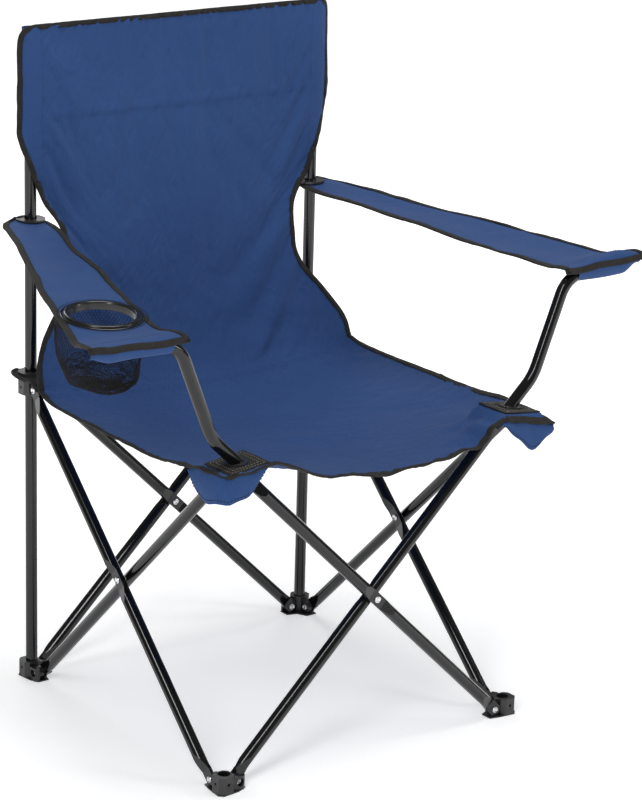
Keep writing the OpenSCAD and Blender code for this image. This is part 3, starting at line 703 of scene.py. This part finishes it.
SEAT_W = [(0, 241.5), (0.06, 244), (0.3, 247), (0.6, 248.5), (0.85, 247), (0.93, 247), (1, 246)]
SEAT_SIDE_Z = [(0, 403), (0.05, 397), (0.26, 393), (0.45, 392), (0.62, 391), (0.78, 396), (0.9, 400),
               (1, 402.5)]
RIGHT_DROP = 13.0
FRONT_Z = [(-246, 402.5), (-228, 403), (-205, 407), (-181, 409), (-146, 399), (-110, 384), (-68, 377),
           (-19, 366), (20, 368), (58, 370), (103, 376), (140, 383), (150, 397.5), (167, 398), (186, 396),
           (205, 393), (233, 388.5), (246, 389.5)]
SEAT_FRONT_X, SEAT_FRONT_Y, CORNER_R = 246.0, -242.0, 28.0
ARM_FOOT_X = 204.0
PATCH_Z = 404.9
PATCH_TILT = math.tan(math.radians(7))


def build_seat():
    rows, cols = 86, 101
    v = np.linspace(0, 1, rows)
    u = np.linspace(-1, 1, cols)
    w = curve(SEAT_W, v)
    side_z = curve(SEAT_SIDE_Z, v)
    p = np.zeros((rows, cols, 3))
    x = u[None, :] * w[:, None]
    mid = 1 - np.abs(u) ** 2.4
    # the seat starts where the back ends
    y0 = np.interp(u * w[0], back[-1, :, 0], back[-1, :, 1])
    z0 = np.interp(u * w[0], back[-1, :, 0], back[-1, :, 2])
    front_y = SEAT_FRONT_Y + 1.5 * np.cos(u * 9)
    p[..., 0] = x
    p[..., 1] = y0[None, :] * (1 - v[:, None]) + front_y[None, :] * v[:, None]
    # the left front corner is rounded, the right one pulled to a point
    ax = (np.abs(x) - SEAT_FRONT_X + CORNER_R) / CORNER_R
    ay = (SEAT_FRONT_Y + CORNER_R - p[..., 1]) / CORNER_R
    corner = (ax > 0) & (ay > 0) & (x < 0)
    ax, ay = np.clip(ax, 0, 1), np.clip(ay, 0, 1)
    p[..., 0] -= np.where(corner, np.sign(x) * CORNER_R * ax * (1 - np.sqrt(1 - ay**2 / 2)), 0)
    p[..., 1] += np.where(corner, CORNER_R * ay * (1 - np.sqrt(1 - ax**2 / 2)), 0)
    x = p[..., 0].copy()
    sag = curve([(0, 17), (0.3, 27), (0.6, 30), (0.8, 30), (1, 28)], v)
    drop = RIGHT_DROP * smooth(0.8, 1.0, v)[:, None] * smooth(0.8, 1.0, u)[None, :]
    z = side_z[:, None] - drop - sag[:, None] * mid[None, :]
    front = curve(FRONT_Z, x[-1])
    near = smooth(0.72, 1.0, v)[:, None]
    z = z * (1 - near) + front[None, :] * near
    z[0] = z0
    # flat under the corner patches
    d = np.maximum(np.abs(np.abs(x) - ARM_FOOT_X), np.abs(p[..., 1] - FRONT_Y))
    under = 1 - smooth(26, 39, d)
    z = z * (1 - under) + (PATCH_Z - 1.0 + (ARM_FOOT_X - np.abs(x)) * PATCH_TILT) * under
    p[..., 2] = z
    pinned = rim(p) | (d < 28)
    p = relax(p, pinned, 0.004, 30, 60.0, 9, lift=0.8, bending=0.5, gravity=0.5)
    n = normals_along(p)
    xx, yy = p[..., 0], p[..., 1]
    folds = np.zeros((rows, cols))
    r = np.random.default_rng(12)
    for k in range(22):
        a = np.array([r.uniform(-200, 200), r.uniform(-220, 120)])
        ang = r.uniform(0, math.pi)
        length, width, h = r.uniform(50, 150), r.uniform(8, 15), r.uniform(-0.9, 0.9)
        s, t = from_line(xx, yy, a, (math.cos(ang), math.sin(ang)))
        folds += h * np.exp(-((t - 6 * np.sin(s / 40 + k)) / width) ** 2) * np.exp(-(s / length * 1.6) ** 4)
    # pulls that run out of the corner patches
    for side in (-1, 1):
        dx, dy = xx - side * ARM_FOOT_X, yy - FRONT_Y
        ang = np.arctan2(dy, -side * dx)
        dist = np.hypot(dx, dy)
        folds += 1.5 * np.cos(ang * 9) * np.exp(-((dist - 62) / 34) ** 2) * (dist > 30)
    # gathers along the crease seam and the front edge
    seam = np.exp(-(v * 430 / 7) ** 2)[:, None]
    folds += seam * wobble(xx.ravel() + 300, 77, 7).reshape(xx.shape)
    front_gather = np.exp(-((1 - v) * 430 / 24) ** 2)[:, None]
    folds += front_gather * wobble(xx.ravel() + 300, 78, 22).reshape(xx.shape) * 2.2
    inside = np.ones((rows, cols), bool)
    inside[0, :] = False
    folds *= inside & (d > 30)
    return p + n * folds[..., None]


seat = build_seat()
seat_n = normals_along(seat)
seat_split = int(np.argmin(np.abs(seat[:, seat.shape[1] // 2, 1] - SEAT_SPLIT)))
rear_quads = all_quads(seat)
rear_quads[seat_split:, :] = False
front_quads = ~rear_quads
quad_mid = (seat[:-1, :-1] + seat[1:, 1:]) / 2
hole = np.hypot(np.abs(quad_mid[..., 0]) - ARM_FOOT_X, quad_mid[..., 1] - FRONT_Y) < 10.5
front_quads &= ~hole
SEAT_SQUASH = (-190.0, 0.2)

seat_tape_rear = bind_piece("seat_binding_rear", [
    grid_edge(seat, seat_n, "left", 0, seat_split + 1), grid_edge(seat, seat_n, "right", 0, seat_split + 1)],
    "seat_rear_half", SEAT_SQUASH, seed=5)
front_loop = join_edges([grid_edge(seat, seat_n, "left", seat_split, None), grid_edge(seat, seat_n, "bottom"),
                         backwards(grid_edge(seat, seat_n, "right", seat_split, None))])
seat_tape_front = bind_piece("seat_binding_front", [front_loop], "seat_front_half", SEAT_SQUASH, seed=6,
                             pucker=1.25, inside=7.4)
crease_lines = [on_grid(seat, seat_n, [row] * 80, np.linspace(1, seat.shape[1] - 2, 80)) for row in (1.4, 2.4)]
seat_thread = stitch_piece("seat_stitches", crease_lines, "seat_rear_half", "cloth_blue", THREAD_BLUE,
                           SEAT_SQUASH, lift=0.75)
sheet_part("seat_cloth_rear", seat, seat_n, rear_quads, "seat_rear_half",
           squash=SEAT_SQUASH, stands_for=["seat_rear"])
sheet_part("seat_cloth_front", seat, seat_n, front_quads, "seat_front_half",
           squash=SEAT_SQUASH, stands_for=["seat_front"])

# ---- corner patches ----


def patch_grid(cx, cy, half_x, half_y, z, crown=0.6):
    n = 25
    s = np.linspace(-1, 1, n)
    p = np.zeros((n, n, 3))
    sx, sy = np.meshgrid(s, s)
    p[..., 0] = cx + sx * half_x * (1 - 0.02 * sy**2)
    p[..., 1] = cy + sy * half_y * (1 - 0.02 * sx**2)
    edge = np.maximum(np.abs(sx), np.abs(sy))
    p[..., 2] = z + crown * (1 - edge**6) + 0.25 * np.sin(sx * 7 + cy) * np.cos(sy * 6)
    p[..., 2] += (ARM_FOOT_X - np.abs(p[..., 0])) * PATCH_TILT
    return p


for side, word in SIDES:
    g = patch_grid(side * ARM_FOOT_X, FRONT_Y, 28, 27, PATCH_Z)
    gn = grid_normals(g)
    mid = (g[:-1, :-1] + g[1:, 1:]) / 2
    keep = np.hypot(mid[..., 0] - side * (ARM_FOOT_X + 1), mid[..., 1] - FRONT_Y) > 11.0
    lines = []
    for inset in (2.0, 4.2):
        a, b = inset, g.shape[0] - 1 - inset
        for rr, cc in (([a] * 20, np.linspace(a, b, 20)), ([b] * 20, np.linspace(a, b, 20)),
                       (np.linspace(a, b, 20), [a] * 20), (np.linspace(a, b, 20), [b] * 20)):
            lines.append(on_grid(g, gn, rr, cc))
    body = f"front_{word}_hub"
    thread = stitch_piece(f"patch_stitches_{word}", lines, body, "patch_grey", THREAD_LIGHT,
                          radius=0.3, lift=0.7)
    sheet_part(f"corner_patch_cloth_{word}", g, gn, keep, body,
               stands_for=[f"corner_patch_{word}"], material=PATCH, thick=1.2)

# ---- corner flaps ----


# depth of each corner flap, by distance from its rear end: round on the left, pointed on the right
FLAP_DEPTH = {-1: [(0, 1.0), (4, 10.5), (8, 18), (16, 27.5), (26, 33), (42, 36), (58, 35), (73, 33), (93, 32),
                   (109, 27.5), (123, 18), (137, 1.5)],
              1: [(0, 1.0), (14, 6), (34, 9), (54, 10), (68, 11), (80, 16), (102, 33), (126, 20), (154, 1.5)]}


def flap_grid(side):
    """A pocket of cloth that hangs from the seat's edge round a front corner."""
    col = 0 if side < 0 else -1
    run = seat[:, col]
    down = run[run[:, 1] < -168]
    across = seat[-1] if side < 0 else seat[-1][::-1]
    along = across[across[:, 0] * side > (184 if side < 0 else 160)][1:]
    top, t = spaced(np.concatenate([down, along]), 2.6)
    t = t * FLAP_DEPTH[side][-1][0] / t[-1]
    depth = curve(FLAP_DEPTH[side], t)
    width = 21 if side < 0 else 9
    kernel = np.hanning(width)
    kernel /= kernel.sum()
    soft = top.copy()
    for k in (0, 1):
        padded = np.concatenate([2 * top[0, k] - top[width // 2:0:-1, k], top[:, k],
                                 2 * top[-1, k] - top[-2:-width // 2 - 1:-1, k]])
        soft[:, k] = np.convolve(padded, kernel, "valid")[:len(top)]
    out = np.stack([np.gradient(soft[:, 1]), -np.gradient(soft[:, 0])], axis=1)
    out = unit(out)
    if np.mean(out[:, 0] * side) < 0:
        out = -out
    rows = 17
    p = np.zeros((rows, len(top), 3))
    for i in range(rows):
        f = i / (rows - 1)
        ease = smooth(0, 0.7, f)
        bulge = 3.0 * math.sin(f * 2.6) - 3.0 * f**2 + 0.35 * np.sin(t / 9.0 + 2 * f) * f - 1.2 * (1 - f)
        dart = -2.2 * np.exp(-((t - 75 + 16 * f) / 3.0) ** 2) * (1 - f) ** 0.5
        for k in (0, 1):
            p[i, :, k] = top[:, k] * (1 - ease) + soft[:, k] * ease + out[:, k] * (bulge + dart)
        p[i, :, 2] = top[:, 2] - 1.2 - depth * f
    return p


for side, word in SIDES:
    g = flap_grid(side)
    gn = grid_normals(g)
    centre = np.array([side * 215.0, FRONT_Y, 390.0])
    if float(np.sum(gn * (g - centre))) < 0:
        gn = -gn
    body = f"front_{word}_hub"
    rr = np.array([g.shape[0] - 3.2] * 50)
    line = on_grid(g, gn, rr, np.linspace(1, g.shape[1] - 2, 50))
    thread = stitch_piece(f"flap_stitches_{word}", [line], body, "cloth_blue", THREAD_DARK, length=3.4,
                          gap=0.7, radius=0.45, lift=0.9)
    sheet_part(f"corner_flap_cloth_{word}", g, gn, all_quads(g), body,
               stands_for=[f"corner_flap_{word}"])

# ---- rear ears ----


def ear_grid(side):
    """The strip from a rear corner of the seat round the back post."""
    rows, cols = 34, 17
    y = np.linspace(REAR_Y + 23, CREASE_Y + 1, rows)
    centre = np.interp(y, [CREASE_Y, REAR_Y - 25, REAR_Y, REAR_Y + 23], [228, 216, 215, 215])
    wide = np.interp(y, [CREASE_Y, REAR_Y - 35, REAR_Y - 12], [14, 17, 22])
    round_end = np.sqrt(np.clip(1 - ((y - REAR_Y) / 24) ** 2, 0.03, 1)) * 24
    half = np.where(y > REAR_Y, round_end, np.minimum(wide + 2, 24))
    s = np.linspace(-1, 1, cols)
    p = np.zeros((rows, cols, 3))
    p[..., 0] = side * (centre[:, None] + s[None, :] * half[:, None])
    p[..., 1] = y[:, None]
    out = np.abs(s[None, :])
    p[..., 2] = 405.0 + 1.2 * np.sin(y / 9.0)[:, None] * out**2 + 1.5 * out**3
    p[..., 2] -= 3.0 * smooth(CREASE_Y + 25, CREASE_Y + 2, y)[:, None]
    return p


for side, word in SIDES:
    g = ear_grid(side)
    gn = normals_along(g)
    mid = (g[:-1, :-1] + g[1:, 1:]) / 2
    keep = np.hypot(mid[..., 0] - side * HALF, mid[..., 1] - REAR_Y) > 10.0
    body = f"rear_{word}_hub"
    edges = join_edges([backwards(grid_edge(g, gn, "left")), grid_edge(g, gn, "top"),
                        grid_edge(g, gn, "right")])
    hem = bind_piece(f"ear_binding_{word}", [edges], body, inside=4.0, outside=1.2, half=1.6,
                     seed=20 + side, pucker=0.6)
    sheet_part(f"seat_ear_cloth_{word}", g, gn, keep, body,
               stands_for=[f"seat_ear_{word}"], material=PATCH, thick=1.6)

# ---- armrests ----

# distance of each armrest's edges from the middle, by y
ARM_INNER = [(-212, 281), (-184, 280), (-171, 283), (-112, 272), (-38, 253), (30, 236), (109, 221),
             (187, 198.5), (215, 197), (232, 200), (238, 206)]
ARM_OUTER = [(-212, 411), (-171, 400), (-121, 382), (-60, 361), (27, 329), (98, 300), (162, 275), (200, 263),
             (222, 254), (233, 243), (238, 230)]
WRAP_R = 9.2


def arm_top_z(y):
    """Height of an armrest's cloth: a slope that ends on top of the arm tube."""
    plane = ARM_REAR_Z + (y - REAR_Y) * math.tan(ARM_SLOPE) + 0.9
    return plane + (ARM_TUBE_Z + WRAP_R - plane) * smooth(-140, -200, y)


def tip_lift(side, x, y):
    """How far the armrest's outer front corner is pulled up, by distance from the middle."""
    near = 1 - smooth(-206, -150, y)
    edge = 1 - smooth(-215, -204, y)
    if side < 0:
        return 1.5 * smooth(350, 408, x) * near + 5.0 * smooth(376, 404, x) * edge
    inner = 5.5 * (1 - smooth(268, 325, x)) * edge
    ridge = 4.5 * smooth(312, 350, x) * (1 - smooth(376, 404, x)) * (1 - edge)
    return (4.0 * smooth(335, 400, x) + 2.0 * smooth(300, 340, x) + ridge) * near + inner


def arm_grid(side):
    y = np.concatenate([[238, 236.5, 233, 228], np.arange(223, ARM_SPLIT + 1, -5.0), [ARM_SPLIT],
                        np.arange(ARM_SPLIT - 4, FRONT_Y + 5, -4.0)])
    wrap_angles = np.linspace(84, 24, 6)
    cols = 33
    s = np.linspace(0, 1, cols)
    inner = curve(ARM_INNER, np.clip(y, -212, 238))
    outer = curve(ARM_OUTER, np.clip(y, -212, 238))
    rows = len(y) + len(wrap_angles)
    p = np.zeros((rows, cols, 3))
    for i, yy in enumerate(y):
        xs = inner[i] + (outer[i] - inner[i]) * s
        zz = float(arm_top_z(float(yy)))
        mid = np.sin(s * math.pi)
        edge_drop = 1.4 * (2 * np.abs(s - 0.5)) ** 4
        ripple = 0.9 * math.sin(yy / 21.0 + side) * (2 * s - 1) ** 2 + 0.6 * np.sin(yy / 33.0 + s * 3)
        flat_near_cup = 1.0
        if side < 0:
            flat_near_cup = 1 - float(np.exp(-((yy - CUP_Y) / 60.0) ** 4))
        fade = float(smooth(-205, -165, yy))
        sagging = -3.2 * mid * float(smooth(-190, -90, yy)) * float(1 - smooth(150, 222, yy))
        p[i, :, 0] = xs
        p[i, :, 1] = yy
        p[i, :, 2] = zz + (sagging * flat_near_cup + ripple * flat_near_cup) * fade - edge_drop * fade
    for k, a in enumerate(wrap_angles):
        i = len(y) + k
        ang = math.radians(a)
        f = (k + 1) / len(wrap_angles)
        x_in, x_out = inner[-1] - 1.5 * f, outer[-1] + 2.0 * math.sin(f * 2)
        xs = x_in + (x_out - x_in) * s
        p[i, :, 0] = xs
        sag_front = 1.4 * np.sin(s * 9 + side) * f + 2.0 * f * (np.abs(2 * s - 1) ** 3)
        p[i, :, 1] = FRONT_Y - WRAP_R * math.cos(ang) * 1.12
        p[i, :, 2] = ARM_TUBE_Z + WRAP_R * math.sin(ang) - sag_front
    p[..., 2] += tip_lift(side, p[..., 0], p[..., 1])
    p[..., 0] *= side
    return p, len(y), y


def under_grid(side, p):
    """The lower half of the sleeve, from inside the front seam under the tube and up behind it."""
    front = p[-1]
    front = front[np.linspace(0, 1, len(front)) >= 0.13]
    turns = np.linspace(0, 1, 16)
    g = np.zeros((len(turns), len(front), 3))
    loose = np.sin(front[:, 0] / 17) * 0.6
    for i, f in enumerate(turns):
        a = math.radians(24 - 196 * f)
        near_tip = smooth(377, 403, np.abs(front[:, 0]))
        r = (WRAP_R - 0.4) * (1 - 0.55 * near_tip) + (0.6 + loose) * math.sin(f * math.pi) * (1 - near_tip)
        g[i, :, 0] = side * np.minimum(np.abs(front[:, 0]), 405.5)
        g[i, :, 1] = FRONT_Y - math.cos(a) * r * 1.06
        seam = (1 - f) ** 4
        on_tube = ARM_TUBE_Z + r * math.sin(a)
        lift = tip_lift(side, np.abs(front[:, 0]), np.full(len(front), FRONT_Y)) * near_tip
        g[i, :, 2] = on_tube + (front[:, 2] - on_tube) * seam + lift * (1 - seam)
    g[-1, :, 2] = arm_top_z(float(FRONT_Y + 14)) - 1.6
    g[-1, :, 1] = FRONT_Y + 15
    return g


for side, word in SIDES:
    g, flat_rows, arm_y = arm_grid(side)
    gn = normals_along(g, part=np.s_[:flat_rows])
    arm_split = int(np.argmin(np.abs(arm_y - ARM_SPLIT)))
    mid = (g[:-1, :-1] + g[1:, 1:] + g[:-1, 1:] + g[1:, :-1]) / 4
    keep = np.hypot(mid[..., 0] - side * HALF, mid[..., 1] - REAR_Y) > 12.0
    if side < 0:
        keep &= np.hypot(mid[..., 0] - CUP_X, mid[..., 1] - CUP_Y) > 44.5
    rear, front = keep.copy(), keep.copy()
    rear[arm_split:, :] = False
    front[:arm_split, :] = False
    rear_body, front_body = f"{word}_arm_rear", f"{word}_arm_front"
    rear_edge = join_edges([backwards(grid_edge(g, gn, "left", 0, arm_split + 1)), grid_edge(g, gn, "top"),
                            grid_edge(g, gn, "right", 0, arm_split + 1)])
    front_edge = join_edges([grid_edge(g, gn, "left", arm_split, None), grid_edge(g, gn, "bottom"),
                             backwards(grid_edge(g, gn, "right", arm_split, None))])
    tape_rear = bind_piece(f"arm_binding_{word}_rear", [rear_edge], rear_body, seed=30 + side, inside=6.5)
    tape_front = bind_piece(f"arm_binding_{word}_front", [front_edge], front_body, seed=40 + side,
                            inside=6.5, pucker=1.1)
    seam = on_grid(g, gn, [flat_rows - 3] * 30, np.linspace(5, g.shape[1] - 3, 30))
    thread = stitch_piece(f"arm_stitches_{word}", [seam], front_body, "cloth_blue", THREAD_BLUE, lift=0.7)
    sleeve = under_grid(side, g)
    sleeve_n = -normals_along(sleeve, part=np.s_[4:9])
    sheet_part(f"arm_sleeve_{word}", sleeve, sleeve_n, all_quads(sleeve), front_body,
               material=BLUE_ARM)
    sheet_part(f"arm_cloth_{word}_rear", g, gn, rear, rear_body,
               stands_for=[f"arm_{word}_rear"], material=BLUE_ARM)
    sheet_part(f"arm_cloth_{word}_front", g, gn, front, front_body,
               stands_for=[f"arm_{word}_front"], material=BLUE_ARM)

# ---- cup holder's net bag ----


def at_cup(p):
    """Points from the cup holder's own frame, as in the CAD model."""
    c, s = math.cos(ARM_SLOPE), math.sin(ARM_SLOPE)
    p = np.asarray(p, float)
    y, z = p[..., 1] * c - p[..., 2] * s, p[..., 1] * s + p[..., 2] * c
    return np.stack([p[..., 0] + CUP_X, y + CUP_Y, z + CUP_Z], axis=-1)


BAG_R = [(-84, 6), (-84, 20), (-83, 33), (-79.5, 39), (-73, 42.5), (-61, 45.5), (-49, 48), (-35, 50.5),
         (-18, 52.5), (-3, 53)]


def bag_point(turn, down):
    """A point of the bag, by angle and by depth from its top in millimetres."""
    z = -3.0 - down
    r = np.interp(z, *np.array(BAG_R, float).T)
    lobes = 0.035 * np.sin(3 * turn + 0.7) * smooth(10, 60, down)
    r = r * (1 + lobes + 0.02 * np.sin(7 * turn + down / 14.0))
    lean = 6.0 * smooth(45, 84, down)
    z = z + 1.2 * np.sin(4 * turn) * smooth(40, 88, down)
    return np.stack([r * np.cos(turn) + lean, r * np.sin(turn), z], axis=-1)


def yarn(lines, radius, sides=4):
    """Thin tubes along polylines."""
    verts, faces = [], []
    for pts in lines:
        pts = np.asarray(pts, float)
        d = unit(np.gradient(pts, axis=0))
        ref = np.where(np.abs(d[:, 2:3]) > 0.9, np.array([[1.0, 0, 0]]), np.array([[0, 0, 1.0]]))
        a = unit(np.cross(d, ref))
        b = np.cross(d, a)
        base = len(verts)
        for i in range(len(pts)):
            for k in range(sides):
                t = 2 * math.pi * k / sides
                verts.append(pts[i] + radius * (a[i] * math.cos(t) + b[i] * math.sin(t)))
        for i in range(len(pts) - 1):
            for k in range(sides):
                q = base + i * sides
                faces.append((q + k, q + (k + 1) % sides, q + sides + (k + 1) % sides, q + sides + k))
        faces.append(tuple(base + k for k in reversed(range(sides))))
        faces.append(tuple(base + (len(pts) - 1) * sides + k for k in range(sides)))
    return np.array(verts), faces


def build_net():
    around, rows, step = 80, 25, 3.4
    lines = []
    for k in range(around):
        for hand in (-1, 1):
            pts = []
            for i in range(rows + 1):
                zig = 0.5 * (1 if (i % 2) else 0) * hand
                for half in (0.0, 0.35):
                    if i == rows and half:
                        continue
                    turn = 2 * math.pi * (k + zig) / around
                    pts.append(bag_point(np.array(turn), np.array(i * step + half * step * 0.9)))
            lines.append(at_cup(np.array(pts)))
    r = np.random.default_rng(21)
    # gathers where the net is bunched at the floor
    for k in range(44):
        t0, z0 = r.uniform(0, 2 * math.pi), r.uniform(54, 81)
        pts = []
        for i in range(26):
            f = i / 25
            turn = t0 + f * r.choice([0.9, 1.1, 1.4])
            pts.append(bag_point(np.array(turn), np.array(z0 + 4 * math.sin(f * 9 + k)))
                       * np.array([0.97, 0.97, 1]) + r.normal(0, 0.25, 3))
        lines.append(at_cup(np.array(pts)))
    for k in range(40):
        t0 = r.uniform(0, 2 * math.pi)
        rad = np.linspace(36, 3, 14)
        pts = np.stack([6 + rad * np.cos(t0 + rad / 22), rad * np.sin(t0 + rad / 22),
                        -84 - 1.0 * np.sin(rad / 4) + 4.0 * (rad / 36) ** 3], axis=1)
        lines.append(at_cup(pts))
    return yarn(lines, 0.32)


verts, faces = build_net()
net = new_mesh("cup_bag_net", verts, faces, NET)
attach(net, "left_arm_front", None, ("cup_bag",))
t = np.linspace(0, 2 * math.pi, 73)
band = [at_cup(bag_point(t, np.full_like(t, depth))) for depth in (0.0, 2.2, 4.4)]
verts, faces = yarn(band, 0.9, 6)
attach(new_mesh("cup_bag_top_hem", verts, faces, NET), "left_arm_front")

# a row of thread round the ring's flange
t = np.linspace(0, 2 * math.pi, 140)
ring_line = at_cup(np.stack([51.5 * np.cos(t), 51.5 * np.sin(t), np.full_like(t, 0.6)], axis=1))
up = at_cup(np.array([0, 0, 1.0])) - at_cup(np.array([0, 0, 0.0]))
stitch_piece("cup_ring_stitches", [(ring_line, np.tile(up, (len(t), 1)))], "left_arm_front", "patch_grey",
             THREAD_DARK, length=2.0, gap=1.0, radius=0.5, lift=0.6)

# ---- stage, lights and camera ----


def floor_material(name, colour, rough, glow):
    """Pale paper that glows a little, less near the object, so that its shadows stay faint."""
    n = Nodes(name)
    speck = n.noise(40.0, 3.0)
    tint = tuple(c * 0.985 for c in colour)
    away = n.add("ShaderNodeVectorMath", {0: n.place}, operation="LENGTH").outputs["Value"]
    far = n.add("ShaderNodeMapRange", {0: away, 1: 0.4, 2: 2.2, 3: glow[0], 4: glow[1]}).outputs[0]
    return n.set(Base_Color=n.mix(speck, (*tint, 1), (*colour, 1)), Roughness=rough, Specular_IOR_Level=0.2,
                 Emission_Color=(1.0, 1.0, 1.0, 1.0), Emission_Strength=far)


def build_floor():
    n, radius = 96, 30000.0
    turns = [2 * math.pi * k / n for k in range(n)]
    verts = [(0, 0, -0.3)] + [(radius * math.cos(t), radius * math.sin(t), -0.3) for t in turns]
    faces = [(0, 1 + k, 1 + (k + 1) % n) for k in range(n)]
    pale = floor_material("floor_pale", (0.9, 0.9, 0.9), 0.7, (0.42, 0.9))
    new_mesh("studio_floor", verts, faces, pale)


build_floor()


def softbox(name, place, target, size, power, colour=(1, 1, 1)):
    light = bpy.data.lights.new(name, "AREA")
    light.shape = "RECTANGLE"
    light.size, light.size_y = size
    light.energy = power
    light.color = colour
    obj = bpy.data.objects.new(name, light)
    obj.location = place
    aim = Vector(target) - Vector(place)
    obj.rotation_euler = aim.to_track_quat("-Z", "Y").to_euler()
    bpy.context.scene.collection.objects.link(obj)


softbox("key_left", (-2.6, -1.8, 2.6), (0, 0, 0.45), (0.7, 2.4), 54)
softbox("fill_right", (2.6, -2.2, 1.9), (0, 0, 0.45), (0.6, 2.4), 28)
softbox("top", (0.2, -0.2, 3.2), (0, 0, 0.4), (1.4, 1.8), 44)
softbox("rim_back", (0.8, 3.0, 2.2), (0, 0, 0.5), (2.2, 1.2), 26)

world = bpy.data.worlds.new("studio")
world.use_nodes = True
world.node_tree.nodes["Background"].inputs[0].default_value = (1, 1, 1, 1)
world.node_tree.nodes["Background"].inputs[1].default_value = 0.17
bpy.context.scene.world = world
bpy.context.scene.view_settings.view_transform = "Standard"

camera = bpy.data.cameras.new("camera")
camera_obj = bpy.data.objects.new("camera", camera)
bpy.context.scene.collection.objects.link(camera_obj)
bpy.context.scene.camera = camera_obj
camera.sensor_width = 36
camera.lens = 131.26
camera.clip_end = 100
eye = Vector((-2.05392, -2.78295 + FRAME_Y * 0.001, 1.44425))
aim = Vector((0.04941, -0.03786 + FRAME_Y * 0.001, 0.39355))
forward = (aim - eye).normalized()
right = forward.cross(Vector((0, 0, 1))).normalized()
up_dir = right.cross(forward)
roll = math.radians(1.58)
rolled_right = right * math.cos(roll) + up_dir * math.sin(roll)
rolled_up = up_dir * math.cos(roll) - right * math.sin(roll)
camera_obj.matrix_world = Matrix((
    (rolled_right.x, rolled_up.x, -forward.x, eye.x),
    (rolled_right.y, rolled_up.y, -forward.y, eye.y),
    (rolled_right.z, rolled_up.z, -forward.z, eye.z),
    (0, 0, 0, 1)))
